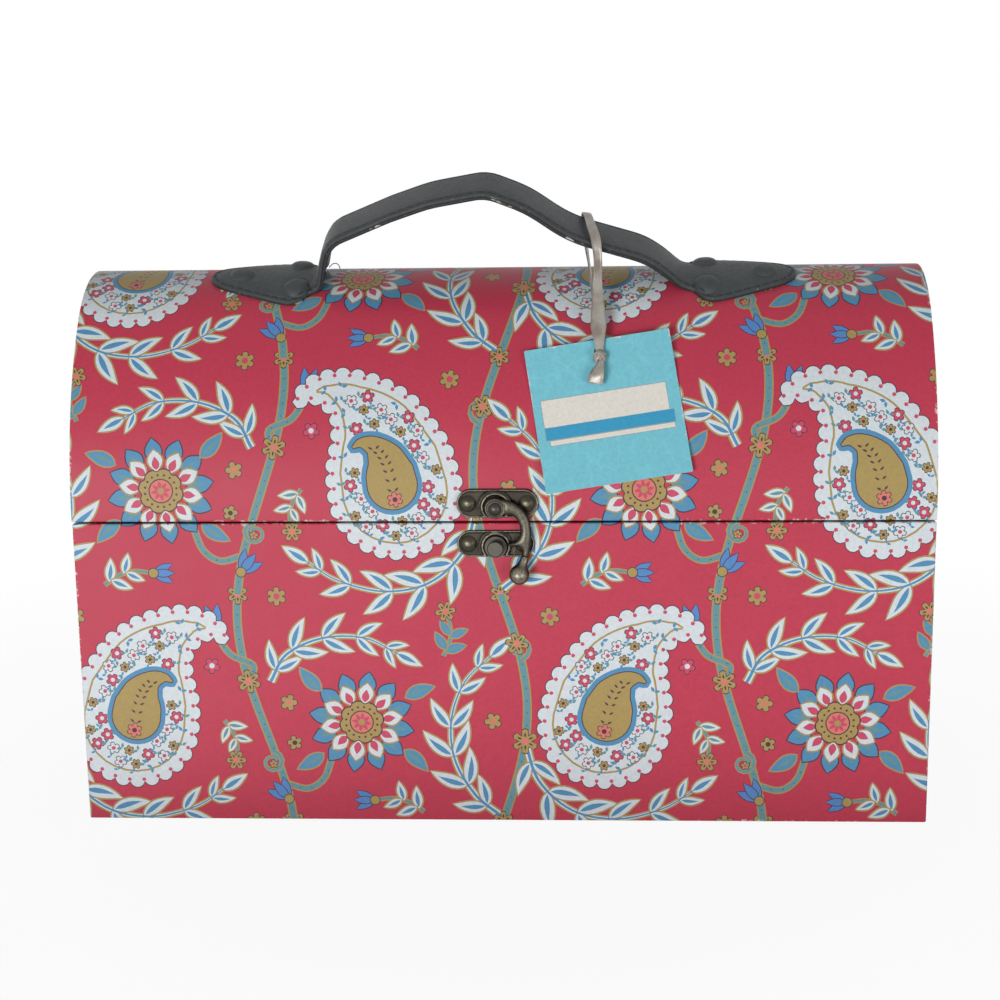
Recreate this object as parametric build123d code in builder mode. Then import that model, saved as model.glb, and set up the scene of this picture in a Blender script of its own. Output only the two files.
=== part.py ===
"""A keepsake box shaped like a small domed trunk.

A paperboard base and an arched lid are covered with printed paper, joined by two
butt hinges at the back and closed by a swing latch at the front. A strap handle is
riveted along the crown of the lid, and a card tag hangs from it by a ribbon.

Millimetres. X runs along the box, -Y is the front, +Z is up, and the origin is the
middle of the face that the box stands on.
"""
import os
from math import asin, atan2, cos, degrees, radians, sin

from build123d import *

os.makedirs("parts", exist_ok=True)

# Box
box_width = 300.0
box_depth = 110.0
base_height = 109.4
seam_gap = 0.6
lid_rise = 82.6
crown_radius = 40.0

# Board and paper
board = 2.2
paper = 0.2
glue = 0.05
turn_in = 3.0
bottom_flange = 15.0
bottom_sheet_inset = 2.0

# Swing latch, measured from its pivot: X along the box, Z up
pivot_x = -1.3
pivot_above_rim = 5.3
pivot_pin_radius = 1.2
pivot_clearance = 0.05
pivot_head_radius = 2.3
pivot_head_height = 1.2
boss_radius = 3.7
plate_width = 28.4
plate_height = 10.0
plate_shift = (0.7, 1.2)
plate_thickness = 0.9
plate_rim = 0.5
plate_rim_height = 0.3
plate_ring_radius = 4.9
latch_rivet_span = 20.4
latch_head_radius = 3.0
latch_head_height = 1.3
keeper_width = 27.0
keeper_height = 9.4
keeper_above_post = 1.05
keeper_rivet_span = 19.0
post_drop = 14.05
post_step_radius = 3.8
post_neck_radius = 1.7
post_head_radius = 2.8
post_head_height = 1.0
post_head_edge = 0.45
arm_gap = 0.15
arm_underside = 2.5
arm_thickness = 1.8
arm_edge = 0.3
arm_corner = 0.4
head_gap = 0.3
ball_radius = 3.5
ball_centre = (8.2, -23.1)
ball_clearance = 1.4
arm_back = [(0.6, 3.65), (6.6, 2.0), (11.0, -2.2), (12.4, -8.0), (11.9, -14.5), (10.6, -20.6)]
arm_belly = [(3.0, -2.2), (6.2, -2.5), (8.5, -6.2), (8.4, -9.8), (7.0, -11.6)]
finger_top = (4.0, -12.5)
finger_bottom = (4.1, -13.4)
arm_throat = [(8.0, -13.6), (9.2, -15.0), (8.8, -19.0), (7.6, -21.6)]

# Rivet shanks and tails
shank_radius = 1.0
tail_radius = 1.9
tail_height = 0.7
rivet_bore = 18.0

# Butt hinges
hinge_span = 190.0
leaf_width = 24.0
leaf_height = 10.0
leaf_thickness = 0.8
knuckle_radius = 1.6
knuckle_wall_gap = 0.3
centre_knuckle = 8.0
knuckle_gap = 0.2
hinge_pin_radius = 0.75
hinge_pin_clearance = 0.05
hinge_pin_head = 0.5
hinge_pin_head_radius = 1.2
hinge_rivet_span = 14.0
hinge_rivet_height = 5.6
hinge_head_radius = 1.9
hinge_head_height = 0.8

# Strap handle, laid on the crown in front of its top line
handle_angle = 20.0
strap_width = 20.0
strap_thickness = 3.0
leaf_root = 63.0
leaf_tip = 105.0
leaf_lobe = (71.5, 16.6)
leaf_shoulder = (97.0, 8.4)
leaf_patch_thickness = 2.6
strap_route = [
    (-68.5, 0.0), (-65.0, 0.0), (-61.5, 15.0), (-40.0, 26.0), (-9.5, 36.2),
    (24.0, 18.0), (50.0, 9.8), (64.5, 0.0), (68.5, 0.0),
]
strap_bends = [2.0, 7.0, 60.0, 16.0, 45.0, 24.0, 7.0]
handle_rivet_places = [(93.5, 0.0), (72.8, 8.6), (72.8, -8.6)]
handle_head_radius = 3.4
handle_head_height = 1.0
handle_head_edge = 0.3
leaf_corner = 4.0
cap_radius = 4.0
cap_height = 0.9

# Ribbon and card tag
ribbon_x = 34.5
ribbon_to_hole = 0.8
ribbon_width = 3.6
ribbon_thickness = 0.4
strap_at_ribbon = 14.5
ribbon_slack = 1.5
ribbon_dip = 0.75
ribbon_rise = 3.0
ribbon_bends = [12.0, 2.4, 3.2, 3.4, 6.0]
card_side = 50.8
card_thickness = 0.6
card_tilt = 7.6
card_hole_radius = 2.2
card_hole_inset = 4.3
card_hole_height = 21.2
card_touch = 38.0
card_gap = 0.3
knot_size = (7.0, 6.0, 3.4)
knot_neck_radius = 1.5
knot_pad_radius = 2.8
knot_pad = 0.6
ribbon_turn = (11.8, -3.4)
tail_length = 10.0
tail_width = 4.6

# Derived places
half_width = box_width / 2
half_depth = box_depth / 2
board_face = paper + glue
wall = board_face + board
lining_face = wall + glue
lined_wall = lining_face + paper
inner_half_width = half_width - wall
lid_rim = base_height + seam_gap
crown_centre = lid_rise - crown_radius
side_radius = (half_depth**2 + crown_centre**2 - crown_radius**2) / (2 * (half_depth - crown_radius))
side_centre = side_radius - half_depth
arc_split = degrees(atan2(crown_centre, side_centre))

print(f"lid section: side radius {side_radius:.2f}, arcs meet at {arc_split:.2f} degrees")


def front_plane(x, z, out=0.0):
    """A plane on the front, drawn X and up, facing forwards."""
    return Plane(origin=(x, -half_depth - out, z), x_dir=(1, 0, 0), z_dir=(0, -1, 0))


def back_plane(x, z, out=0.0):
    """A plane on the back, drawn with X reversed and up, facing backwards."""
    return Plane(origin=(x, half_depth + out, z), x_dir=(-1, 0, 0), z_dir=(0, 1, 0))


def section_plane(x):
    """A plane across the box at x, drawn Y and Z."""
    return Plane.YZ.offset(x)


def crown_plane(angle, x=0.0, out=0.0):
    """A plane on the crown at an angle in front of its top line, facing out of the lid."""
    a = radians(angle)
    reach = crown_radius + out
    place = (x, -reach * sin(a), lid_rim + crown_centre + reach * cos(a))
    return Plane(origin=place, x_dir=(1, 0, 0), z_dir=(0, -sin(a), cos(a)))


def arch(inset, mode=Mode.ADD):
    """Draw the lid's section down to its rim, inset from the outer skin."""
    with BuildLine() as outline:
        front = CenterArc((side_centre, lid_rim), side_radius - inset, 180 - arc_split, arc_split)
        CenterArc((0, lid_rim + crown_centre), crown_radius - inset, arc_split, 180 - 2 * arc_split)
        back = CenterArc((-side_centre, lid_rim), side_radius - inset, 0, arc_split)
        Line(front @ 1, back @ 0)
    make_face(outline.edges(), mode=mode)


def heights(low, high, mode):
    """A wide rectangle from one height to another, in a section sketch."""
    with Locations((0, (low + high) / 2)):
        Rectangle(2 * box_depth, high - low, mode=mode)


def slab(x_size, y_size, low, high, mode=Mode.ADD):
    """A box centred on the origin in plan, from one height to another."""
    with Locations((0, 0, (low + high) / 2)):
        Box(x_size, y_size, high - low, mode=mode)


def dome(radius, height):
    """A spherical cap that stands on its own base, pointing along +Z."""
    ball = (radius**2 + height**2) / (2 * height)
    with BuildPart() as cap:
        with BuildSketch(Plane.XZ):
            with BuildLine():
                RadiusArc((radius, 0), (0, height), -ball)
                Line((0, height), (0, 0))
                Line((0, 0), (radius, 0))
            make_face()
        revolve(axis=Axis.Z)
    return cap.part


def save(part, name):
    """Name a finished piece and write it."""
    part.label = name
    export_step(part, f"parts/{name}.step")


# Places on the front, in X and Z
pivot = (pivot_x, lid_rim + pivot_above_rim)
plate_centre = (pivot[0] + plate_shift[0], pivot[1] + plate_shift[1])
keeper_centre = (pivot[0], pivot[1] - post_drop + keeper_above_post)
post = (pivot[0], pivot[1] - post_drop)
latch_rivets = [(plate_centre[0] + side * latch_rivet_span / 2, plate_centre[1]) for side in (-1, 1)]
keeper_rivets = [(keeper_centre[0] + side * keeper_rivet_span / 2, keeper_centre[1]) for side in (-1, 1)]

# Places on the back
hinge_z = base_height + seam_gap / 2
hinge_out = knuckle_wall_gap + knuckle_radius
hinge_y = half_depth + hinge_out
hinge_places = [-hinge_span / 2, hinge_span / 2]
hinge_rivet_rows = [x + side * hinge_rivet_span / 2 for x in hinge_places for side in (-1, 1)]
lid_hinge_rivets = [(x, lid_rim + hinge_rivet_height) for x in hinge_rivet_rows]
base_hinge_rivets = [(x, base_height - hinge_rivet_height) for x in hinge_rivet_rows]


def rivet_planes(front_places, back_places, out=0.0):
    """Planes at the rivets of the front and of the back."""
    planes = [front_plane(x, z, out) for x, z in front_places]
    return planes + [back_plane(x, z, out) for x, z in back_places]


def rivet_holes(front_places, back_places):
    """Cut the holes of rivets that pass through a wall, its paper and its lining."""
    with Locations(*rivet_planes(front_places, back_places)):
        Cylinder(shank_radius, rivet_bore, mode=Mode.SUBTRACT)


def handle_planes(out=0.0):
    """Planes at the six rivets of the handle, square to the crown."""
    return [
        crown_plane(handle_angle + degrees(across / crown_radius), side * along, out)
        for side in (-1, 1)
        for along, across in handle_rivet_places
    ]


def handle_holes():
    """Cut the holes of the handle's rivets."""
    with Locations(*handle_planes()):
        Cylinder(shank_radius, rivet_bore, mode=Mode.SUBTRACT)


# Base boards
board_low = 2 * paper
board_high = base_height - paper

with BuildPart() as base_bottom_board:
    slab(2 * inner_half_width, box_depth - 2 * wall, board_low, board_low + board)
save(base_bottom_board.part, "base_bottom_board")

for name, side in (("front", -1), ("back", 1)):
    with BuildPart() as long_board:
        with Locations((0, side * (half_depth - board_face - board / 2), (board_low + board_high) / 2)):
            Box(box_width - 2 * board_face, board, board_high - board_low)
        rivet_holes(keeper_rivets if side < 0 else [], base_hinge_rivets if side > 0 else [])
        if side < 0:
            with Locations(front_plane(*post)):
                Cylinder(shank_radius, rivet_bore, mode=Mode.SUBTRACT)
    save(long_board.part, f"base_{name}_board")

for name, side in (("left", -1), ("right", 1)):
    with BuildPart() as short_board:
        with Locations((side * (half_width - board_face - board / 2), 0, (board_low + board_high) / 2)):
            Box(board, box_depth - 2 * wall, board_high - board_low)
    save(short_board.part, f"base_{name}_board")

# Base papers
with BuildPart() as base_wrap_paper:
    slab(box_width, box_depth, paper, base_height)
    slab(box_width - 2 * paper, box_depth - 2 * paper, 2 * paper, base_height - paper, Mode.SUBTRACT)
    slab(box_width - 2 * wall, box_depth - 2 * wall, base_height - turn_in, base_height)
    slab(box_width - 2 * lined_wall, box_depth - 2 * lined_wall, base_height - turn_in, base_height,
         Mode.SUBTRACT)
    slab(box_width - 2 * bottom_flange, box_depth - 2 * bottom_flange, paper, 2 * paper, Mode.SUBTRACT)
    rivet_holes(keeper_rivets + [post], base_hinge_rivets)
save(base_wrap_paper.part, "base_wrap_paper")

with BuildPart() as base_bottom_sheet:
    slab(box_width - 2 * bottom_sheet_inset, box_depth - 2 * bottom_sheet_inset, 0, paper)
save(base_bottom_sheet.part, "base_bottom_sheet")

with BuildPart() as base_lining_paper:
    slab(box_width - 2 * lining_face, box_depth - 2 * lining_face, board_low + board, base_height - turn_in)
    slab(box_width - 2 * lined_wall, box_depth - 2 * lined_wall, board_low + board + paper, base_height,
         Mode.SUBTRACT)
    rivet_holes(keeper_rivets + [post], base_hinge_rivets)
save(base_lining_paper.part, "base_lining_paper")

# Lid boards
with BuildPart() as lid_curved_board:
    with BuildSketch(section_plane(-half_width + board_face)):
        arch(board_face)
        arch(wall, Mode.SUBTRACT)
        heights(base_height, lid_rim + paper, Mode.SUBTRACT)
    extrude(amount=box_width - 2 * board_face)
    rivet_holes(latch_rivets + [pivot], lid_hinge_rivets)
    handle_holes()
save(lid_curved_board.part, "lid_curved_board")

for name, start in (("left", -half_width + board_face), ("right", half_width - wall)):
    with BuildPart() as end_board:
        with BuildSketch(section_plane(start)):
            arch(wall)
            heights(base_height, lid_rim + paper, Mode.SUBTRACT)
        extrude(amount=board)
    save(end_board.part, f"lid_{name}_end_board")

# Lid papers
with BuildPart() as lid_wrap_paper:
    with BuildSketch(section_plane(-half_width)):
        arch(0)
        arch(paper, Mode.SUBTRACT)
    extrude(amount=box_width)
    with BuildSketch(section_plane(-half_width + paper)):
        arch(paper)
        arch(wall, Mode.SUBTRACT)
        heights(lid_rim, lid_rim + paper, Mode.INTERSECT)
    extrude(amount=box_width - 2 * paper)
    with BuildSketch(section_plane(-half_width + lined_wall)):
        arch(wall)
        arch(lined_wall, Mode.SUBTRACT)
        heights(lid_rim, lid_rim + turn_in, Mode.INTERSECT)
    extrude(amount=box_width - 2 * lined_wall)
    rivet_holes(latch_rivets + [pivot], lid_hinge_rivets)
    handle_holes()
save(lid_wrap_paper.part, "lid_wrap_paper")

for name, side in (("left", -1), ("right", 1)):
    with BuildPart() as end_paper:
        with BuildSketch(section_plane(side * half_width)):
            arch(paper)
        extrude(amount=-side * paper)
        with BuildSketch(section_plane(side * (half_width - paper))):
            arch(wall)
            heights(lid_rim, lid_rim + paper, Mode.INTERSECT)
        extrude(amount=-side * (wall - paper))
        with BuildSketch(section_plane(side * inner_half_width)):
            arch(wall)
            heights(lid_rim, lid_rim + turn_in, Mode.INTERSECT)
        extrude(amount=-side * paper)
    save(end_paper.part, f"lid_{name}_end_paper")

with BuildPart() as lid_lining_paper:
    with BuildSketch(section_plane(-half_width + lining_face)):
        arch(lining_face)
        heights(base_height, lid_rim + turn_in, Mode.SUBTRACT)
    extrude(amount=box_width - 2 * lining_face)
    with BuildSketch(section_plane(-half_width + lined_wall)):
        arch(lined_wall)
    extrude(amount=box_width - 2 * lined_wall, mode=Mode.SUBTRACT)
    rivet_holes(latch_rivets, lid_hinge_rivets)
    handle_holes()
save(lid_lining_paper.part, "lid_lining_paper")


# Latch plates
def latch_plate_body(centre, width, height, ring_centre):
    """A round-ended plate with a raised rim and a raised ring round its pin."""
    with BuildSketch(front_plane(0, 0)) as plate:
        with Locations(centre):
            SlotOverall(width, height)
    extrude(plate.sketch, amount=plate_thickness)
    with BuildSketch(front_plane(0, 0, plate_thickness)) as relief:
        with Locations(centre):
            SlotOverall(width, height)
            SlotOverall(width - 2 * plate_rim, height - 2 * plate_rim, mode=Mode.SUBTRACT)
        with Locations(ring_centre):
            Circle(plate_ring_radius)
            Circle(plate_ring_radius - plate_rim, mode=Mode.SUBTRACT)
        with Locations(centre):
            SlotOverall(width, height, mode=Mode.INTERSECT)
    extrude(relief.sketch, amount=plate_rim_height)


with BuildPart() as latch_plate:
    latch_plate_body(plate_centre, plate_width, plate_height, pivot)
    with BuildSketch(front_plane(0, 0, -plate_thickness)):
        with Locations(plate_centre):
            SlotOverall(plate_width, plate_height)
    extrude(amount=plate_thickness)
    with BuildSketch(section_plane(-plate_width)):
        arch(0)
    extrude(amount=2 * plate_width, mode=Mode.SUBTRACT)
    rivet_holes(latch_rivets + [pivot], [])
save(latch_plate.part, "latch_plate")

with BuildPart() as latch_keeper_plate:
    latch_plate_body(keeper_centre, keeper_width, keeper_height, post)
    rivet_holes(keeper_rivets + [post], [])
save(latch_keeper_plate.part, "latch_keeper_plate")


# Rivets through the walls
def rivets(front_places, back_places, seat, head):
    """Shanks that reach into their tails, and their heads on a seat."""
    inside = lined_wall + tail_height
    with Locations(*rivet_planes(front_places, back_places, -inside)):
        Cylinder(shank_radius, inside + seat, align=(Align.CENTER, Align.CENTER, Align.MIN))
    with Locations(*rivet_planes(front_places, back_places, seat)):
        add(head)


def tails(front_places, back_places, depth):
    """The clinched ends of rivets inside the box, from a depth below the outer face."""
    with Locations(*rivet_planes(front_places, back_places, -depth - tail_height)):
        Cylinder(tail_radius, tail_height, align=(Align.CENTER, Align.CENTER, Align.MIN))


latch_head = dome(latch_head_radius, latch_head_height)
hinge_head = dome(hinge_head_radius, hinge_head_height)


def lid_tails(front_places, back_places):
    """The clinched ends inside the curved wall of the lid."""
    with Locations(*rivet_planes(front_places, back_places, -lined_wall - tail_height)):
        Cylinder(tail_radius, 2 * tail_height, align=(Align.CENTER, Align.CENTER, Align.MIN))
    with BuildSketch(section_plane(-half_width)) as hollow:
        arch(lined_wall)
    extrude(hollow.sketch, amount=box_width, mode=Mode.INTERSECT)


with BuildPart() as latch_plate_rivets:
    lid_tails(latch_rivets, [])
    rivets(latch_rivets, [], plate_thickness, latch_head)
save(latch_plate_rivets.part, "latch_plate_rivets")

with BuildPart() as latch_keeper_rivets:
    tails(keeper_rivets, [], lined_wall)
    rivets(keeper_rivets, [], plate_thickness, latch_head)
save(latch_keeper_rivets.part, "latch_keeper_rivets")

with BuildPart() as hinge_lid_rivets:
    lid_tails([], lid_hinge_rivets)
    rivets([], lid_hinge_rivets, leaf_thickness, hinge_head)
save(hinge_lid_rivets.part, "hinge_lid_rivets")

with BuildPart() as hinge_base_rivets:
    tails([], base_hinge_rivets, lined_wall)
    rivets([], base_hinge_rivets, leaf_thickness, hinge_head)
save(hinge_base_rivets.part, "hinge_base_rivets")

# Latch arm, its pivot rivet and the keeper post
arm_top = arm_underside + arm_thickness

with BuildPart() as latch_arm:
    with BuildSketch(front_plane(*pivot, arm_underside)):
        with BuildLine():
            back = Spline(*arm_back)
            Line(back @ 1, arm_throat[-1])
            throat = Spline(*reversed(arm_throat))
            Polyline(throat @ 1, finger_bottom, finger_top, arm_belly[-1])
            belly = Spline(*reversed(arm_belly))
            Line(belly @ 1, back @ 0)
        make_face()
        fillet(vertices(), arm_corner)
    extrude(amount=arm_thickness)
    fillet(latch_arm.faces().sort_by(Axis.Y)[0].edges(), arm_edge)
    with Locations(front_plane(*pivot, plate_thickness + arm_gap)):
        Cylinder(boss_radius, arm_top - plate_thickness - arm_gap,
                 align=(Align.CENTER, Align.CENTER, Align.MIN))
    with Locations(front_plane(pivot[0] + ball_centre[0], pivot[1] + ball_centre[1],
                               ball_radius + ball_clearance)):
        Sphere(ball_radius)
    with Locations(front_plane(*pivot)):
        Cylinder(pivot_pin_radius + pivot_clearance, rivet_bore, mode=Mode.SUBTRACT)
save(latch_arm.part, "latch_arm")

with BuildPart() as latch_pivot_rivet:
    with Locations(front_plane(*pivot, plate_thickness)):
        Cylinder(pivot_pin_radius, arm_top - plate_thickness + arm_gap,
                 align=(Align.CENTER, Align.CENTER, Align.MIN))
    with Locations(front_plane(*pivot, -wall)):
        Cylinder(shank_radius, wall + plate_thickness, align=(Align.CENTER, Align.CENTER, Align.MIN))
    with Locations(front_plane(*pivot, arm_top + arm_gap)):
        add(dome(pivot_head_radius, pivot_head_height))
save(latch_pivot_rivet.part, "latch_pivot_rivet")

with BuildPart() as latch_keeper_post:
    with Locations(front_plane(*post, -lined_wall)):
        Cylinder(shank_radius, lined_wall + plate_thickness, align=(Align.CENTER, Align.CENTER, Align.MIN))
    with Locations(front_plane(*post, -lined_wall - tail_height)):
        Cylinder(tail_radius, tail_height, align=(Align.CENTER, Align.CENTER, Align.MIN))
    with Locations(front_plane(*post, plate_thickness)):
        Cylinder(post_step_radius, arm_underside - head_gap - plate_thickness,
                 align=(Align.CENTER, Align.CENTER, Align.MIN))
        Cylinder(post_neck_radius, arm_top + head_gap - plate_thickness,
                 align=(Align.CENTER, Align.CENTER, Align.MIN))
    with Locations(front_plane(*post, arm_top + head_gap)):
        Cylinder(post_head_radius, post_head_height, align=(Align.CENTER, Align.CENTER, Align.MIN))
    fillet(latch_keeper_post.faces().sort_by(Axis.Y)[0].edges(), post_head_edge)
save(latch_keeper_post.part, "latch_keeper_post")

# Butt hinges
outer_knuckle = (leaf_width - centre_knuckle) / 2 - knuckle_gap
outer_knuckle_shift = (leaf_width - outer_knuckle) / 2
outer_places = [x + side * outer_knuckle_shift for x in hinge_places for side in (-1, 1)]
knuckle_relief = knuckle_radius + knuckle_gap


def along_hinge(places, radius, length, mode=Mode.ADD):
    """Cylinders on the hinge line, centred on the given places."""
    with Locations(*[Location((x, hinge_y, hinge_z), (0, 90, 0)) for x in places]):
        Cylinder(radius, length, mode=mode)


with BuildPart() as hinge_base_leaves:
    with Locations(*[back_plane(x, base_height - leaf_height / 2) for x in hinge_places]):
        Box(leaf_width, leaf_height, leaf_thickness, align=(Align.CENTER, Align.CENTER, Align.MIN))
    along_hinge(hinge_places, knuckle_relief, centre_knuckle + 2 * knuckle_gap, Mode.SUBTRACT)
    along_hinge(outer_places, knuckle_radius, outer_knuckle)
    along_hinge(hinge_places, hinge_pin_radius, 2 * leaf_width, Mode.SUBTRACT)
    rivet_holes([], base_hinge_rivets)
save(hinge_base_leaves.part, "hinge_base_leaves")

with BuildPart() as hinge_lid_leaves:
    with Locations(*[back_plane(x, lid_rim + leaf_height / 2, -leaf_thickness) for x in hinge_places]):
        Box(leaf_width, leaf_height, 2 * leaf_thickness, align=(Align.CENTER, Align.CENTER, Align.MIN))
    with BuildSketch(section_plane(-half_width)):
        arch(0)
    extrude(amount=box_width, mode=Mode.SUBTRACT)
    along_hinge(outer_places, knuckle_relief, outer_knuckle + 2 * knuckle_gap, Mode.SUBTRACT)
    along_hinge(hinge_places, knuckle_radius, centre_knuckle)
    along_hinge(hinge_places, hinge_pin_radius + hinge_pin_clearance, 2 * leaf_width, Mode.SUBTRACT)
    rivet_holes([], lid_hinge_rivets)
save(hinge_lid_leaves.part, "hinge_lid_leaves")

with BuildPart() as hinge_pins:
    along_hinge(hinge_places, hinge_pin_radius, leaf_width)
    pin_ends = [x + side * (leaf_width + hinge_pin_head) / 2 for x in hinge_places for side in (-1, 1)]
    along_hinge(pin_ends, hinge_pin_head_radius, hinge_pin_head)
save(hinge_pins.part, "hinge_pins")

# Strap handle
handle_base = crown_plane(handle_angle)
lean = radians(handle_angle)
strap_plane = Plane(origin=handle_base.origin, x_dir=(1, 0, 0), z_dir=(0, -cos(lean), -sin(lean)))

with BuildPart() as handle_strap:
    for side in (-1, 1):
        with BuildSketch(handle_base):
            with BuildLine():
                Polyline(
                    (side * leaf_root, 0), (side * leaf_root, strap_width / 2),
                    (side * leaf_lobe[0], leaf_lobe[1]), (side * leaf_shoulder[0], leaf_shoulder[1]),
                    (side * leaf_tip, 0), (side * leaf_shoulder[0], -leaf_shoulder[1]),
                    (side * leaf_lobe[0], -leaf_lobe[1]), (side * leaf_root, -strap_width / 2),
                    (side * leaf_root, 0),
                )
            make_face()
            fillet([v for v in vertices() if abs(v.X) > leaf_root], leaf_corner)
        extrude(amount=strap_width, both=True)
    with BuildSketch(section_plane(-half_width)):
        arch(-leaf_patch_thickness)
        arch(0, Mode.SUBTRACT)
    extrude(amount=box_width, mode=Mode.INTERSECT)
    handle_holes()
    with BuildSketch(strap_plane):
        with BuildLine():
            FilletPolyline(*strap_route, radius=strap_bends)
            offset(amount=strap_thickness, side=Side.LEFT)
        make_face()
    extrude(amount=strap_width / 2, both=True)
save(handle_strap.part, "handle_strap")

with BuildPart() as handle_rivets:
    with Locations(*handle_planes(-lined_wall)):
        Cylinder(shank_radius, lined_wall + leaf_patch_thickness,
                 align=(Align.CENTER, Align.CENTER, Align.MIN))
    with Locations(*handle_planes(leaf_patch_thickness)):
        Cylinder(handle_head_radius, handle_head_edge, align=(Align.CENTER, Align.CENTER, Align.MIN))
    with Locations(*handle_planes(leaf_patch_thickness + handle_head_edge)):
        add(dome(handle_head_radius, handle_head_height))
save(handle_rivets.part, "handle_rivets")

with BuildPart() as handle_rivet_caps:
    with Locations(*handle_planes(-lined_wall - cap_height)):
        Cylinder(cap_radius, 2 * cap_height, align=(Align.CENTER, Align.CENTER, Align.MIN))
    with BuildSketch(section_plane(-half_width)):
        arch(lined_wall)
    extrude(amount=box_width, mode=Mode.INTERSECT)
save(handle_rivet_caps.part, "handle_rivet_caps")

# Card tag, lying against the curve of the lid
card_slope = asin(card_touch / side_radius)
card_origin = (
    0,
    side_centre - (side_radius + card_gap) * cos(card_slope),
    lid_rim + (side_radius + card_gap) * sin(card_slope),
)
card_plane = Plane(origin=card_origin, x_dir=(1, 0, 0), z_dir=(0, -cos(card_slope), sin(card_slope)))
hole_to_centre = card_side / 2 - card_hole_inset
tilt = radians(card_tilt)
card_hole = (ribbon_x + ribbon_to_hole, card_hole_height)
card_centre = (card_hole[0] + hole_to_centre * sin(tilt), card_hole[1] - hole_to_centre * cos(tilt))

with BuildPart() as tag_card:
    with BuildSketch(card_plane):
        with Locations(Location(card_centre, card_tilt)):
            Rectangle(card_side, card_side)
        with Locations(card_hole):
            Circle(card_hole_radius, mode=Mode.SUBTRACT)
    extrude(amount=card_thickness)
save(tag_card.part, "tag_card")

# Knot in front of the card, its neck through the hole, and the ribbon's tail
knot_out = card_thickness + card_gap + knot_size[2] / 2
bead = scale(Sphere(knot_size[0] / 2), by=(1, knot_size[1] / knot_size[0], knot_size[2] / knot_size[0]))

with BuildPart() as ribbon_knot:
    with Locations(card_plane * Location((*card_hole, knot_out))):
        add(bead)
    with Locations(card_plane * Location((*card_hole, -card_gap - knot_pad))):
        Cylinder(knot_neck_radius, knot_out + card_gap, align=(Align.CENTER, Align.CENTER, Align.MIN))
        Cylinder(knot_pad_radius, knot_pad, align=(Align.CENTER, Align.CENTER, Align.MIN))
    with Locations(card_plane * Location((card_hole[0], card_hole[1] - tail_length / 2, knot_out))):
        Box(tail_width, tail_length, ribbon_thickness)
save(ribbon_knot.part, "ribbon_knot")


# Ribbon, drawn in the section at its own x
def strap_point(across, height):
    """A point of the section at the ribbon: across the strap (front positive) and above the crown."""
    base = handle_base.origin
    return (base.Y - across * cos(lean) - height * sin(lean), base.Z - across * sin(lean) + height * cos(lean))


knot_centre = card_plane.from_local_coords((*card_hole, knot_out))
behind_hole = card_plane.from_local_coords((*card_hole, -card_gap - knot_pad))
above_card = card_plane.from_local_coords((card_hole[0], card_hole[1] + ribbon_turn[0], ribbon_turn[1]))
edge = strap_width / 2 + ribbon_slack
ribbon_route = [
    (behind_hole.Y, behind_hole.Z),
    (above_card.Y, above_card.Z),
    strap_point(-edge, strap_at_ribbon - ribbon_dip),
    strap_point(-edge, strap_at_ribbon + strap_thickness + ribbon_rise),
    strap_point(edge, strap_at_ribbon + strap_thickness + ribbon_slack),
    strap_point(edge, strap_at_ribbon - ribbon_slack),
    (knot_centre.Y, knot_centre.Z),
]

with BuildPart() as tag_ribbon:
    with BuildSketch(section_plane(ribbon_x - ribbon_width / 2)):
        with BuildLine():
            FilletPolyline(*ribbon_route, radius=ribbon_bends)
            offset(amount=ribbon_thickness, side=Side.LEFT)
        make_face()
    extrude(amount=ribbon_width)
save(tag_ribbon.part, "tag_ribbon")

print(f"hinge line y {hinge_y:.3f} z {hinge_z:.3f}; latch pivot x {pivot[0]:.3f} z {pivot[1]:.3f}")
place = card_plane.from_local_coords((*card_hole, 0))
print(f"tag pivot {place.X:.3f} {place.Y:.3f} {place.Z:.3f} axis {card_plane.z_dir}")
print("ribbon route", [tuple(round(c, 2) for c in p) for p in ribbon_route])
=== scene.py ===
"""Looks of the domed keepsake box: printed paper, strap handle, swing latch, ribbon and tag.

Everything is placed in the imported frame, in metres, with -Y as the front. The print and
the small trim are drawn in millimetres and scaled on the way into their meshes.
"""

from math import atan2, cos, degrees, hypot, pi, radians, sin, tau

import bpy
import numpy as np
from mathutils import Matrix, Vector
from mathutils.geometry import delaunay_2d_cdt


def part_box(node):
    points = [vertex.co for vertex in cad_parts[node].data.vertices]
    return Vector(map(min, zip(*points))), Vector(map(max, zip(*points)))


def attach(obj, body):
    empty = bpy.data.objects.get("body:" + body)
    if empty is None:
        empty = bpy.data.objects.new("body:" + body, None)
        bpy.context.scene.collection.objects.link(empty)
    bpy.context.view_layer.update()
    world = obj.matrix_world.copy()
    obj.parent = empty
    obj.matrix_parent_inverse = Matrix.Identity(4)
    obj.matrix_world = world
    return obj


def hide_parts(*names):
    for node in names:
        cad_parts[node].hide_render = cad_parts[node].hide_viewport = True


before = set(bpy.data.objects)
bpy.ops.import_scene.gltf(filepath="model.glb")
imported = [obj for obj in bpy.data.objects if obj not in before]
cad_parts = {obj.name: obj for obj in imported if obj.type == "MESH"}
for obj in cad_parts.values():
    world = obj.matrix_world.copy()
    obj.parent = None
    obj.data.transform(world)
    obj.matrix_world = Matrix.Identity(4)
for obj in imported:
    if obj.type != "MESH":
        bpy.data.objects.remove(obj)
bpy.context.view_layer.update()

MM = 0.001

# Camera, at the photograph's place: metres and degrees
camera_place = (0.032013, -0.679328, 0.249533)
camera_down = 11.919
camera_left = 2.906
camera_roll = 0.7806
camera_lens = 66.6

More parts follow.
